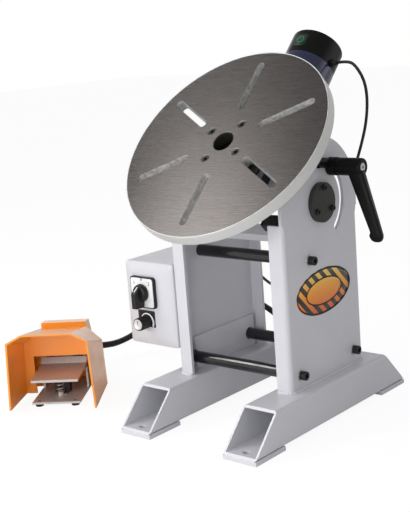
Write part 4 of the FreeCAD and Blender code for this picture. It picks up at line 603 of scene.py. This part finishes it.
class POSITIONER_OT_stage(bpy.types.Operator):
    """Camera, floor, surrounding light and lamps"""

    bl_idname = "positioner.stage"
    bl_label = "Build the stage"

    def execute(self, context):
        scene = context.scene
        lights = scene.positioner_lights
        scene.view_settings.view_transform = "Standard"
        self.camera(scene)
        self.world(scene, lights.ambient)
        self.floor()
        table, pedal, middle = (0.0, -0.08, 0.45), (-0.37, -0.25, 0.07), (-0.05, 0.0, 0.35)
        light_panel("Key light", (-1.75, -1.24, 2.12), table, 1.5, 0.45, lights.key_power, -52.0)
        light_panel("Pedal light", (0.45, -1.55, 0.40), pedal, 0.7, 0.5, lights.pedal_power)
        light_panel("Front light", (-0.5, -2.6, 0.9), middle, 1.8, 0.28, lights.fill_power)
        return {"FINISHED"}

    def camera(self, scene):
        """Camera from its place, its yaw and pitch, and its roll about the view."""
        yaw, pitch, roll = (math.radians(angle) for angle in CAMERA_YAW_PITCH_ROLL)
        ahead = np.array([-math.sin(yaw) * math.cos(pitch), math.cos(yaw) * math.cos(pitch), math.sin(pitch)])
        right = np.array([math.cos(yaw), math.sin(yaw), 0])
        down = np.cross(ahead, right)
        level = math.cos(roll) * right + math.sin(roll) * down
        lower = -math.sin(roll) * right + math.cos(roll) * down
        data = bpy.data.cameras.new("Camera")
        data.lens, data.sensor_width = CAMERA_LENS, CAMERA_SENSOR
        camera = bpy.data.objects.new("Camera", data)
        camera.matrix_world = Matrix([
            *([level[axis], -lower[axis], -ahead[axis], CAMERA_PLACE[axis]] for axis in range(3)),
            [0, 0, 0, 1],
        ])
        scene.collection.objects.link(camera)
        scene.camera = camera

    def world(self, scene, strength):
        """White to the camera, a low sky in reflections, and the given strength as light."""
        world = bpy.data.worlds.new("Surroundings")
        world.use_nodes = True
        tree = world.node_tree
        backdrop = tree.nodes["Background"]
        backdrop.inputs["Color"].default_value = (1, 1, 1, 1)
        rays = tree.nodes.new("ShaderNodeLightPath")
        seen = tree.nodes.new("ShaderNodeMath")
        seen.operation = "MAXIMUM"
        tree.links.new(rays.outputs["Is Camera Ray"], seen.inputs[0])
        tree.links.new(rays.outputs["Is Transmission Ray"], seen.inputs[1])
        shone = self.choose(tree, rays.outputs["Is Glossy Ray"], strength, self.low_sky(tree))
        tree.links.new(self.choose(tree, seen.outputs[0], shone, 1.0), backdrop.inputs["Strength"])
        scene.world = world

    def choose(self, tree, which, first, second):
        """The first value where `which` is 0, the second where it is 1."""
        node = tree.nodes.new("ShaderNodeMix")
        tree.links.new(which, node.inputs[0])
        for socket, value in ((node.inputs[2], first), (node.inputs[3], second)):
            if isinstance(value, bpy.types.NodeSocket):
                tree.links.new(value, socket)
            else:
                socket.default_value = value
        return node.outputs[0]

    def low_sky(self, tree):
        """Strength of the surroundings that shine back: full low down, and dim overhead."""
        direction = tree.nodes.new("ShaderNodeTexCoord")
        parts = tree.nodes.new("ShaderNodeSeparateXYZ")
        height = tree.nodes.new("ShaderNodeMapRange")
        for socket, value in (("From Min", 0.25), ("From Max", 0.50), ("To Min", 1.0), ("To Max", 0.4)):
            height.inputs[socket].default_value = value
        tree.links.new(direction.outputs["Generated"], parts.inputs[0])
        tree.links.new(parts.outputs["Z"], height.inputs["Value"])
        return height.outputs["Result"]

    def floor(self):
        """Pale floor that glows to the camera alone, so that it is white and still takes a shadow."""
        glow_strength, glow_share, reach = 1.06, 0.86, 12.0
        finish = Finish("Pale floor").set(Base_Color=(0.9, 0.9, 0.9), Roughness=0.9)
        tree = finish.material.node_tree
        glow = finish.add("ShaderNodeEmission")
        glow.inputs["Strength"].default_value = glow_strength
        rays = finish.add("ShaderNodeLightPath")
        share = finish.maths("MULTIPLY", rays.outputs["Is Camera Ray"], glow_share)
        mix = finish.add("ShaderNodeMixShader")
        tree.links.new(share, mix.inputs[0])
        tree.links.new(finish.shader.outputs[0], mix.inputs[1])
        tree.links.new(glow.outputs[0], mix.inputs[2])
        tree.links.new(mix.outputs[0], finish.nodes["Material Output"].inputs["Surface"])
        corners = [(-reach, -reach, 0), (reach, -reach, 0), (reach, reach, 0), (-reach, reach, 0)]
        sunk = np.array(corners) - [0, 0, 0.0003]
        floor = new_object("Floor", sunk, [[0, 1, 2, 3]], finish.material, smooth=False)


class POSITIONER_OT_finishes(bpy.types.Operator):
    """Finish of every piece that comes straight from the frame"""

    bl_idname = "positioner.finishes"
    bl_label = "Paint the frame's pieces"

    def execute(self, context):
        make_materials(context.scene.positioner_colours)
        for name, node in frame["nodes"].items():
            for slot in node.material_slots:
                slot.material = MATERIALS[FINISH_OF.get(name, SLOTS[name])]
        return {"FINISHED"}


# ---------------------------------------------------------------------------------------
# Cords
# ---------------------------------------------------------------------------------------
CONDUIT_ROUTE = (
    (-0.4554, -0.0415, 0.060), (-0.4791, -0.0068, 0.060), (-0.491, 0.035, 0.0405),
    (-0.476, 0.105, 0.0335), (-0.412, 0.1695, 0.090), (-0.329, 0.206, 0.0895),
    (-0.247, 0.2235, 0.116), (-0.195, 0.1815, 0.142), (-0.195, 0.1115, 0.160),
)
MOTOR_ROUTE = (
    (0.0916, 0.1515, 0.6205), (0.1146, 0.1521, 0.6227), (0.1339, 0.1461, 0.612), (0.1477, 0.1485, 0.5868),
    (0.1418, 0.1649, 0.5539), (0.125, 0.185, 0.512), (0.114, 0.185, 0.474), (0.099, 0.182, 0.430),
    (0.089, 0.176, 0.380), (0.082, 0.170, 0.330), (0.070, 0.164, 0.275), (0.042, 0.158, 0.222),
    (0.0, 0.154, 0.190), (-0.048, 0.150, 0.181), (-0.098, 0.150, 0.194), (-0.144, 0.1645, 0.220),
    (-0.165, 0.1435, 0.234), (-0.165, 0.1115, 0.235),
)
LEAD_START = (
    (-0.165, 0.1115, 0.160), (-0.1625, 0.1748, 0.1515), (-0.124, 0.2125, 0.1093), (-0.1005, 0.234, 0.0616),
)
COIL_MIDDLE = (-0.014, 0.220)
COIL_RADIUS, COIL_TOP, COIL_PITCH = 0.0614, 0.044, 0.0126
COIL_START = math.radians(125)
COIL_TURNS = 3 - 40 / 360
COIL_POINTS_A_TURN = 14
TAIL_LENGTH, TAIL_STRAIGHT = 0.072, 0.020
PLUG_MIDDLE = 0.015


def coil_points():
    """Turns of the put-away lead: a falling helix, clockwise from above, about a lead's width a turn."""
    share = np.linspace(0, 1, int(round(COIL_TURNS * COIL_POINTS_A_TURN)) + 1)
    angle = COIL_START - share * COIL_TURNS * 2 * math.pi
    return np.stack([COIL_MIDDLE[0] + COIL_RADIUS * np.cos(angle),
                     COIL_MIDDLE[1] + COIL_RADIUS * np.sin(angle),
                     COIL_TOP - share * COIL_TURNS * COIL_PITCH], axis=1)


class POSITIONER_OT_cords(bpy.types.Operator):
    """Corrugated pedal conduit, motor cable and the mains lead with its coil"""

    bl_idname = "positioner.cords"
    bl_label = "Lay the cords"

    def execute(self, context):
        self.conduit()
        self.motor_cable()
        self.lead()
        return {"FINISHED"}

    def conduit(self):
        """Corrugated tube: the radius rises and falls as a flattened sine along the route."""
        line, length = resampled(spline_path(CONDUIT_ROUTE), 0.0005)
        along = np.linspace(0, length, len(line))
        pitch, crest, depth, flatness = 0.0031, 0.0070, 0.0011, 1.6
        wave = np.cos(2 * np.pi * along / pitch)
        radius = crest - depth * (0.5 - 0.5 * np.tanh(flatness * wave) / math.tanh(flatness))
        piece = swept("pedal_conduit_tube", line, radius, MATERIALS["conduit"], steps=18)
        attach(piece, "base")
        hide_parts("pedal_conduit")

    def motor_cable(self):
        """Round tube along the route from the base up to the head."""
        line, _ = resampled(spline_path(MOTOR_ROUTE), 0.0025)
        piece = swept("motor_cable_tube", line, 0.00275, MATERIALS["rubber_black"], steps=14)
        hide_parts("motor_cable")
        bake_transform(piece)

    def lead(self):
        """Rubber lead: a smooth curve down from the gland, round the coil and out to its plug."""
        coil = coil_points()
        way = coil[1] - coil[0]
        way /= np.linalg.norm(way)
        out = coil[-1] - coil[-2]
        out[2] = 0
        out /= np.linalg.norm(out)
        end = coil[-1] + out * TAIL_LENGTH
        end[2] = PLUG_MIDDLE
        points = [*LEAD_START, tuple(coil[0] - way * 0.0325), *map(tuple, coil),
                  tuple(coil[-1] + out * TAIL_STRAIGHT), tuple(end - out * TAIL_STRAIGHT), tuple(end)]
        piece = spline_curve("mains_lead_cord", points, 0.012, MATERIALS["rubber_black"])
        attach(piece, "base")
        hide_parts("mains_lead", "mains_coil")
        line, _ = resampled(spline_path(points), 0.002)
        stretch = line[:18]
        share = np.linspace(0, 1, len(stretch))
        groove_depth, groove_count = 0.0006, 5
        groove = groove_depth * (np.sin(share * 2 * np.pi * groove_count) > 0.2)
        radius = 0.0098 - 0.0030 * share - groove
        sleeve = swept("lead_strain_relief", stretch, radius, MATERIALS["rubber_black"], steps=24)
        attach(sleeve, "base")


# ---------------------------------------------------------------------------------------
# Trim shapes
# ---------------------------------------------------------------------------------------
def rounded_rectangle(width, height, radius, corner=7):
    """Outline with four quarter circles for its corners."""
    turn = np.linspace(0, np.pi / 2, corner)
    x, z = width / 2 - radius, height / 2 - radius
    arcs = []
    for quarter, middle in enumerate(((x, z), (-x, z), (-x, -z), (x, -z))):
        angle = turn + quarter * np.pi / 2
        arcs.append(middle + radius * np.stack([np.cos(angle), np.sin(angle)], axis=1))
    return np.concatenate(arcs)


def oval(across, up, steps=96):
    """Ellipse with the given half widths."""
    turn = np.linspace(0, 2 * np.pi, steps, endpoint=False)
    return np.stack([across * np.cos(turn), up * np.sin(turn)], axis=1)


def flat_on(origin, across, up):
    """Mapping of (across, up, height) onto a plane that faces across x up."""
    origin, across, up = (np.asarray(value, float) for value in (origin, across, up))
    facing = np.cross(across, up)
    return lambda u, v, h: origin + u[..., None] * across + v[..., None] * up + h[..., None] * facing


def slab(name, outline, depth, mapping, material, chamfer=0.0004, inner=(0.7, 0.4, 0.1)):
    """Outline raised to a depth: its wall, a chamfer, then the face as smaller and smaller outlines."""
    size = np.abs(outline).max()
    rings = [(1.0, 0.0), (1.0, depth - chamfer), (1 - chamfer / size, depth)]
    rings += [(scale, depth) for scale in inner]
    grid = np.stack([mapping(outline[:, 0] * scale, outline[:, 1] * scale, np.full(len(outline), height))
                     for scale, height in rings])
    return tube_surface(name, grid, material)


def band(name, inside, outside, depth, mapping, material, closed=True):
    """Flat strip between two outlines, raised to a depth; an open strip has its ends filled."""
    corners = ((inside, 0.0), (inside, depth), (outside, depth), (outside, 0.0))
    lines = [mapping(line[:, 0], line[:, 1], np.full(len(line), height)) for line, height in corners]
    grid = np.stack(lines, axis=1)
    return tube_surface(name, grid, material, capped=not closed, closed=closed)


def lettering(name, words, height, plane, material):
    """Raised characters, centred on the origin of a plane that is given with its two ways."""
    capital_share = 0.7
    origin, across, up = (np.asarray(value, float) for value in plane)
    data = bpy.data.curves.new(name, "FONT")
    data.body = words
    data.size = height / capital_share
    data.extrude = 0.0002
    data.align_x = "CENTER"
    data.align_y = "CENTER"
    data.resolution_u = 3
    text = bpy.data.objects.new(name + "_text", data)
    bpy.context.scene.collection.objects.link(text)
    bpy.context.view_layer.update()
    mesh = bpy.data.meshes.new_from_object(text)
    bpy.data.curves.remove(data)
    count = len(mesh.vertices)
    points = np.empty(count * 3)
    mesh.vertices.foreach_get("co", points)
    points = points.reshape(-1, 3)
    facing = np.cross(across, up)
    placed = origin + points[:, :1] * across + points[:, 1:2] * up + points[:, 2:3] * facing
    mesh.vertices.foreach_set("co", placed.ravel())
    mesh.materials.clear()
    mesh.materials.append(material)
    piece = bpy.data.objects.new(name, mesh)
    bpy.context.scene.collection.objects.link(piece)
    return piece


def fit(piece, body, slot, *nodes):
    """Ride on a body and stand for any nodes named; the slot is not used."""
    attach(piece, body)
    if nodes:
        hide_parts(*nodes)
    return piece


class POSITIONER_OT_edges(bpy.types.Operator):
    """Every machined, moulded or folded piece of the frame with its edges rounded"""

    bl_idname = "positioner.edges"
    bl_label = "Round the edges"

    # Width of each piece's rounding, in millimetres
    WIDTHS = {
        "left_foot": 1.2, "right_foot": 1.2, "foot_pads": 0.8, "left_side_plate": 0.9,
        "right_side_plate": 0.9, "base_stiffeners": 0.8, "tilt_yoke": 0.8, "control_box": 0.5,
        "box_rear_cover": 0.3, "table": 0.9,
        "motor_cap": 3.0, "motor_body": 0.5, "motor_bell": 1.0, "gearbox_housing": 1.5, "gearbox_cover": 1.0,
        "pivot_caps": 1.2, "tie_rods": 0.5, "pedal_hood": 0.8, "pedal_base": 0.8, "pedal_treadle": 1.0,
        "pedal_feet": 1.0, "lock_collar": 0.8, "cable_glands": 0.6, "motor_gland": 0.6, "earth_blocks": 0.6,
        "rod_screws": 0.5, "cap_screws": 0.4, "table_screws": 0.5, "rod_washers": 0.3, "box_screws": 0.4,
    }

    def execute(self, context):
        for node, width in self.WIDTHS.items():
            finish = FINISH_OF.get(node, SLOTS[node])
            piece = merged_copy(node, node + "_rounded", MATERIALS[finish], width / MILLIMETRES)
            fit(piece, frame["nodes"][node]["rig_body"], SLOTS[node], node)
        return {"FINISHED"}


class POSITIONER_OT_lever(bpy.types.Operator):
    """Moulded clamping lever, its corners melted together as in one moulding, and its guide in the slot"""

    bl_idname = "positioner.lever"
    bl_label = "Mould the lever"

    def execute(self, context):
        low, high = (np.array(corner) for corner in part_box("lock_lever"))
        screw_end = float(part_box("lever_screw")[1][0])
        axis = joint_place("lever_turn") * [0, 1, 1]
        end = screw_end + 0.001
        hub = self.hub(axis, float(low[0]), end)
        arm = self.arm(axis + [end - 0.0155, 0, 0], float(high[0]))
        work = bmesh.new()
        work.from_mesh(hub.data)
        work.from_mesh(arm.data)
        work.to_mesh(hub.data)
        work.free()
        bpy.data.objects.remove(arm)
        moulding = hub.modifiers.new("One skin", "REMESH")
        moulding.mode = "VOXEL"
        moulding.voxel_size = 0.0007
        moulding.use_smooth_shade = True
        easing = hub.modifiers.new("Soft corners", "SMOOTH")
        easing.factor = 0.5
        easing.iterations = 3
        fit(hub, "lever_grip", "black_plastic", "lock_lever")
        self.guide()
        return {"FINISHED"}

    def hub(self, axis, start, end):
        """Turned hub, its outer end sunk round the screw."""
        length = end - start
        profile = [(0, 0.0002), (0, 0.0140), (0.0010, 0.0152), (length * 0.3, 0.0155),
                   (length - 0.0035, 0.0155), (length - 0.0010, 0.0146), (length, 0.0125), (length, 0.0088),
                   (length - 0.0004, 0.0082), (length - 0.0085, 0.0082), (length - 0.0085, 0.0002)]
        root = axis + [start, 0, 0]
        return turned("lever_moulding", profile, root, (1, 0, 0), MATERIALS["lever_black"], steps=72)

    def arm(self, root, reach):
        """Squared ovals, |x/a|^n + |y/b|^n = 1, down the leaning arm; a finger stop swells near the tip."""
        lean, length = math.radians(18.5), 0.1355
        down = np.array([math.sin(lean), 0, -math.cos(lean)])
        across = np.array([math.cos(lean), 0, math.sin(lean)])
        part = np.concatenate([np.linspace(0.075, 0.84, 24), np.linspace(0.85, 0.94, 14),
                               0.94 + 0.06 * np.sin(np.linspace(0.1, 1, 12) * np.pi / 2)])
        tip = np.sqrt(np.clip(1 - np.clip((part - 0.90) / 0.1005, 0, 1) ** 2.4, 0, 1))
        half_width = 0.0138 - 0.0050 * part
        finger_stop = 0.0042 * np.clip((part - 0.845) / 0.035, 0, 1)
        outer, inner = half_width * tip, (half_width + finger_stop) * tip
        depth = (0.0118 - 0.0034 * part) * tip
        turn = np.linspace(0, 2 * np.pi, 48, endpoint=False)
        squareness = 3.2
        power = 2 / squareness
        side = np.sign(np.cos(turn)) * np.abs(np.cos(turn)) ** power
        thick = np.sign(np.sin(turn)) * np.abs(np.sin(turn)) ** power
        wide = np.where(side > 0, outer[:, None], inner[:, None]) * side * (1 - 0.22 * thick)
        grid = (root + part[:, None, None] * length * down + wide[..., None] * across
                + (depth[:, None] * thick)[..., None] * np.array([0, 1, 0]))
        grid[..., 0] = np.minimum(grid[..., 0], reach)
        return tube_surface("lever_arm", grid, MATERIALS["lever_black"])

    def guide(self):
        """Curved guide of the stud: a stretch of ring on the plate's outer face, concentric with the slot."""
        stud = joint_place("lever_turn")[1:] - TILT_AT[1:]
        radius, begin = float(np.hypot(*stud)), math.atan2(stud[1], stud[0])
        turn = np.linspace(begin - 0.10, begin + 0.62, 40)
        half_width = 0.0085
        inner, outer = (np.stack([size * np.cos(turn), size * np.sin(turn)], axis=1)
                        for size in (radius - half_width, radius + half_width))
        place = flat_on((PLATE_OUTER + 0.0002, TILT_AT[1], TILT_AT[2]), (0, 1, 0), (0, 0, 1))
        ring = band("lock_guide", inner, outer, 0.0060, place, MATERIALS["lever_black"], closed=False)
        fit(ring, "head", "black_plastic")


class POSITIONER_OT_controls(bpy.types.Operator):
    """Front of the control box: its cover, the switch and its marks, the speed plate and its fluted knob"""

    bl_idname = "positioner.controls"
    bl_label = "Dress the controls"

    def execute(self, context):
        low, high = (np.array(corner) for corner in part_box("control_box"))
        across, up = (1, 0, 0), (0, 0, 1)
        middle = (low + high) / 2
        front = float(low[1])
        place = flat_on((middle[0], front + 0.0001, middle[2]), across, up)
        cover = slab("box_front_cover", rounded_rectangle(0.119, 0.159, 0.008), 0.0012, place,
                     MATERIALS["paint_grey"], 0.0006)
        fit(cover, "base", "paint_grey")
        self.switch(across, up)
        self.speed(across, up)
        return {"FINISHED"}

    def switch(self, across, up):
        low, high = (np.array(corner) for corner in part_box("switch_plate"))
        x, z = (low[0] + high[0]) / 2, (low[2] + high[2]) / 2
        face = float(low[1])
        bezel = slab("switch_bezel", rounded_rectangle(0.060, 0.060, 0.006), float(high[1] - low[1]),
                     flat_on((x, float(high[1]), z), across, up), MATERIALS["label_black"], 0.0008)
        fit(bezel, "base", "black_plastic", "switch_plate")
        plate = slab("switch_face", rounded_rectangle(0.0555, 0.0555, 0.005), 0.0006,
                     flat_on((x, face + 0.0001, z), across, up), MATERIALS["switch_white"], 0.0002)
        fit(plate, "base", "grey_plastic")
        for place, words, angle in (("left", "1", 135), ("middle", "0", 90), ("right", "2", 45)):
            turn = math.radians(angle)
            origin = (x + 0.0265 * math.cos(turn), face - 0.0006, z + 0.0255 * math.sin(turn))
            mark = lettering(f"switch_mark_{place}", words, 0.0062, (origin, across, up),
                             MATERIALS["mark_black"])
            fit(mark, "base", "black_plastic")
        self.switch_knob(x, z, face)

    def switch_knob(self, x, z, face):
        """Round skirt with a grip that hangs below it; the grip's sloping top carries the pointer."""
        start = (x, face - 0.0009, z)
        profile = [(0, 0.0002), (0, 0.0165), (0.0012, 0.0172), (0.0050, 0.0168), (0.0085, 0.0156),
                   (0.0100, 0.0140), (0.0104, 0.0100), (0.0104, 0.0002)]
        skirt = turned("switch_skirt", profile, start, (0, -1, 0), MATERIALS["knob_black"], steps=72)
        fit(skirt, "switch_handle", "black_plastic", "switch_knob")
        side = np.array([(0.0015, -0.0270), (0.0015, 0.0150), (0.0060, 0.0160), (0.0100, 0.0140),
                         (0.0235, 0.0035), (0.0245, 0.0015), (0.0245, -0.0255), (0.0230, -0.0270)])
        grip_width = 0.011
        place = flat_on((x - grip_width / 2, start[1], z), (0, -1, 0), (0, 0, 1))
        shape = np.stack([place(side[:, 0], side[:, 1], np.full(len(side), height))
                          for height in (0.0, -grip_width)])
        grip = tube_surface("switch_grip", shape, MATERIALS["knob_black"])
        round_edges(grip, 0.0014, angle=30)
        fit(grip, "switch_handle", "black_plastic")
        slope = np.array([0, -0.0135, -0.0105]) / math.hypot(0.0135, 0.0105)
        top = np.array([x, start[1] - 0.0160, z + 0.00935])
        pointer = slab("switch_pointer", rounded_rectangle(0.0024, 0.0125, 0.0009, 4), 0.0004,
                       flat_on(top, (1, 0, 0), -slope), MATERIALS["white_mark"], 0.0001)
        fit(pointer, "switch_handle", "grey_plastic")

    def speed(self, across, up):
        low, high = (np.array(corner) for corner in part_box("speed_knob"))
        x, z = (low[0] + high[0]) / 2, (low[2] + high[2]) / 2
        label_low, label_high = (np.array(corner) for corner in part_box("speed_label"))
        label_middle = (label_low + label_high) / 2
        face = float(label_low[1])
        plate = slab("speed_plate", rounded_rectangle(0.043, 0.032, 0.0015), 0.0012,
                     flat_on((label_middle[0], face + 0.0006, label_middle[2]), across, up),
                     MATERIALS["label_black"], 0.0002)
        fit(plate, "base", "black_plastic", "speed_label")
        turn = np.radians(np.linspace(212, -32, 60))
        inner = 0.0142
        outer = np.linspace(0.0150, 0.0188, len(turn))
        round_about = np.stack([np.cos(turn), np.sin(turn)], axis=1)
        arc = band("speed_arc", round_about * inner, round_about * outer[:, None], 0.0003,
                   flat_on((x, face - 0.0006, z), across, up), MATERIALS["white_mark"], closed=False)
        fit(arc, "base", "grey_plastic")
        knob_foot = face - 0.0012
        self.speed_knob((x, knob_foot, z), knob_foot - float(low[1]))
        place = flat_on((x, float(low[1]) + 0.0003, z + 0.0038), across, up)
        line = slab("speed_knob_line", rounded_rectangle(0.0012, 0.0072, 0.0005, 4), 0.0002, place,
                    MATERIALS["mark_black"], 0.00005)
        fit(line, "speed_dial", "black_plastic")

    def speed_knob(self, start, length):
        """Turned knob with rounded flutes, sunk where a raised cosine round the axis is high, and its cap."""
        axis = (0, -1, 0)
        flute_count, flute_depth = 18, 0.0013

        def flutes(along, angle):
            share = np.clip((along - 0.0034) / 0.001, 0, 1) * np.clip((length - 0.0020 - along) / 0.001, 0, 1)
            return -flute_depth * share * (0.5 + 0.5 * np.cos(flute_count * angle)) ** 1.5

        foot = [(0, 0.0002), (0, 0.0119), (0.0006, 0.0125), (0.0026, 0.0125), (0.0034, 0.0123)]
        grip = np.stack([np.linspace(0.0040, length - 0.0030, 12), np.linspace(0.0123, 0.0125, 12)], axis=1)
        top = [(length - 0.0012, 0.0119), (length - 0.0012, 0.0002)]
        knob = turned("speed_knob_fluted", np.concatenate([foot, grip, top]), start, axis,
                      MATERIALS["knob_black"], steps=160, ripple=flutes)
        fit(knob, "speed_dial", "black_plastic", "speed_knob")
        profile = [(length - 0.0014, 0.0002), (length - 0.0014, 0.0101), (length - 0.0003, 0.0101),
                   (length, 0.0097), (length, 0.0086), (length - 0.0003, 0.0082), (length - 0.0003, 0.0002)]
        cap = turned("speed_knob_cap", profile, start, axis, MATERIALS["knob_silver"], steps=72)
        fit(cap, "speed_dial", "machined_steel")


class POSITIONER_OT_plates(bpy.types.Operator):
    """Plain striped oval on the right side plate, a badge on the motor's cap and a painted highlight on the
    table's edge
    """

    bl_idname = "positioner.plates"
    bl_label = "Fix the plates"

    def execute(self, context):
        self.side_oval()
        self.painted_rim_highlight()
        self.badge()
        return {"FINISHED"}

    def side_oval(self):
        """Striped field with a rim, and a plain middle with a line round it, in steps out from the plate."""
        black = MATERIALS["mark_black"]
        y, z, tilt = 0.018, 0.2330, math.radians(1.5)
        lean = (0, math.cos(tilt), math.sin(tilt)), (0, -math.sin(tilt), math.cos(tilt))
        low = flat_on((PLATE_OUTER - 0.00005, y, z), *lean)
        raised = flat_on((PLATE_OUTER + 0.00055, y, z), *lean)
        field = slab("side_oval", oval(0.083, 0.0405), 0.0007, low, MATERIALS["oval_field"], 0.0002)
        fit(field, "base", "hood_orange")
        rim = band("side_oval_rim", oval(0.0795, 0.0370), oval(0.0826, 0.0401), 0.0004, raised, black)
        fit(rim, "base", "black_plastic")
        middle = slab("side_oval_centre", oval(0.054, 0.0230), 0.0003, raised, MATERIALS["oval_centre"],
                      0.0001)
        fit(middle, "base", "hood_orange")
        line = band("side_oval_line", oval(0.0525, 0.0215), oval(0.0550, 0.0240), 0.0005, raised, black)
        fit(line, "base", "black_plastic")

    def painted_rim_highlight(self):
        """Painted highlight: a bright silver ring on the chamfer round the table's face."""
        place = flat_on(in_head((0, 0.015, 0.1499)), (1, 0, 0), tuple(UP_TABLE))
        ring = band("turntable_rim_highlight", oval(0.1979, 0.1979, 160), oval(0.1994, 0.1994, 160), 0.0003, place,
                    MATERIALS["knob_silver"])
        fit(ring, "turntable", "machined_steel")

    def badge(self):
        """Rounded square, disc and ring bent round the cap: their width runs along the arc."""
        motor_across, motor_out, badge_along, radius = 0.030, 0.070, 0.271, 0.0485
        rings = (0.8, 0.6, 0.4, 0.2, 0.05)

        def bent(u, v, h):
            angle = math.pi / 2 - u / radius
            return in_head(np.stack([motor_across + (radius + h) * np.cos(angle), badge_along + v,
                                     motor_out + (radius + h) * np.sin(angle)], axis=-1))

        square = slab("motor_badge", rounded_rectangle(0.026, 0.026, 0.006), 0.0008, bent,
                      MATERIALS["badge_dark"], 0.0003, rings)
        fit(square, "head", "black_plastic")
        disc = slab("motor_badge_disc", oval(0.0098, 0.0098, 48), 0.0013, bent, MATERIALS["badge_green"],
                    0.0003, rings)
        fit(disc, "head", "board_green")
        ring = band("motor_badge_ring", oval(0.0060, 0.0060, 48), oval(0.0068, 0.0068, 48), 0.0016, bent,
                    MATERIALS["badge_light"])
        fit(ring, "head", "grey_plastic")


class POSITIONER_OT_welds(bpy.types.Operator):
    """Painted weld beads where the side plates stand on the feet"""

    bl_idname = "positioner.welds"
    bl_label = "Run the welds"

    def execute(self, context):
        for side, hand in ((-1, "left"), (1, "right")):
            outer, inner, tip = side * PLATE_OUTER, side * PLATE_INNER, side * 0.0975
            front, rear, top = PLATE_FRONT, PLATE_REAR, FOOT_TOP
            lift = 0.0008
            corner = side * 0.008
            face, turn = outer + side * lift, outer - side * 0.0025
            round_front = [(face, rear - 0.008, top), (face, front + 0.009, top), (turn, front + 0.0025, top),
                           (outer - corner, front - lift, top), (tip, front - lift, top)]
            round_rear = [(face, rear - 0.009, top), (turn, rear - 0.0025, top),
                          (outer - corner, rear + lift, top), (tip, rear + lift, top)]
            inside = [(inner - side * lift, front + 0.012, top), (inner - side * lift, rear - 0.012, top)]
            for place, route in (("front", round_front), ("rear", round_rear), ("inside", inside)):
                self.bead(f"weld_{hand}_{place}", route)
        return {"FINISHED"}

    def bead(self, name, route):
        """Tube whose radius rises and falls once a ripple, with its ends drawn in."""
        line, length = resampled(route, 0.0007)
        along = np.linspace(0, length, len(line))
        size, ripple, pitch = 0.0027, 0.10, 0.0042
        ends = np.clip(np.minimum(along, length - along) / 0.003 + 0.35, 0.35, 1)
        radius = size * (1 + ripple * np.sin(along * 2 * np.pi / pitch)) * ends
        fit(swept(name, line, radius, MATERIALS["paint_grey"], steps=10), "base", "paint_grey")


# ---------------------------------------------------------------------------------------
# Panel and run
# ---------------------------------------------------------------------------------------
class POSITIONER_PT_panel(bpy.types.Panel):
    """Colours, lights and the steps of the positioner's looks"""

    bl_idname = "POSITIONER_PT_panel"
    bl_label = "Welding positioner"
    bl_space_type = "VIEW_3D"
    bl_region_type = "UI"
    bl_category = "Positioner"

    def draw(self, context):
        for group in (context.scene.positioner_colours, context.scene.positioner_lights):
            box = self.layout.box()
            for name in group.__annotations__:
                box.prop(group, name)
        for step in STEPS:
            self.layout.operator(step.bl_idname)


STEPS = (
    POSITIONER_OT_stage, POSITIONER_OT_finishes, POSITIONER_OT_cords, POSITIONER_OT_edges,
    POSITIONER_OT_lever, POSITIONER_OT_controls, POSITIONER_OT_plates, POSITIONER_OT_welds,
)
CLASSES = (PositionerColours, PositionerLights, *STEPS, POSITIONER_PT_panel)


def register():
    for cls in CLASSES:
        bpy.utils.register_class(cls)
    bpy.types.Scene.positioner_colours = PointerProperty(type=PositionerColours)
    bpy.types.Scene.positioner_lights = PointerProperty(type=PositionerLights)


def unregister():
    del bpy.types.Scene.positioner_lights
    del bpy.types.Scene.positioner_colours
    for cls in reversed(CLASSES):
        bpy.utils.unregister_class(cls)


def main():
    register()
    for step in STEPS:
        group, name = step.bl_idname.split(".")
        getattr(getattr(bpy.ops, group), name)()


if __name__ == "__main__":
    main()
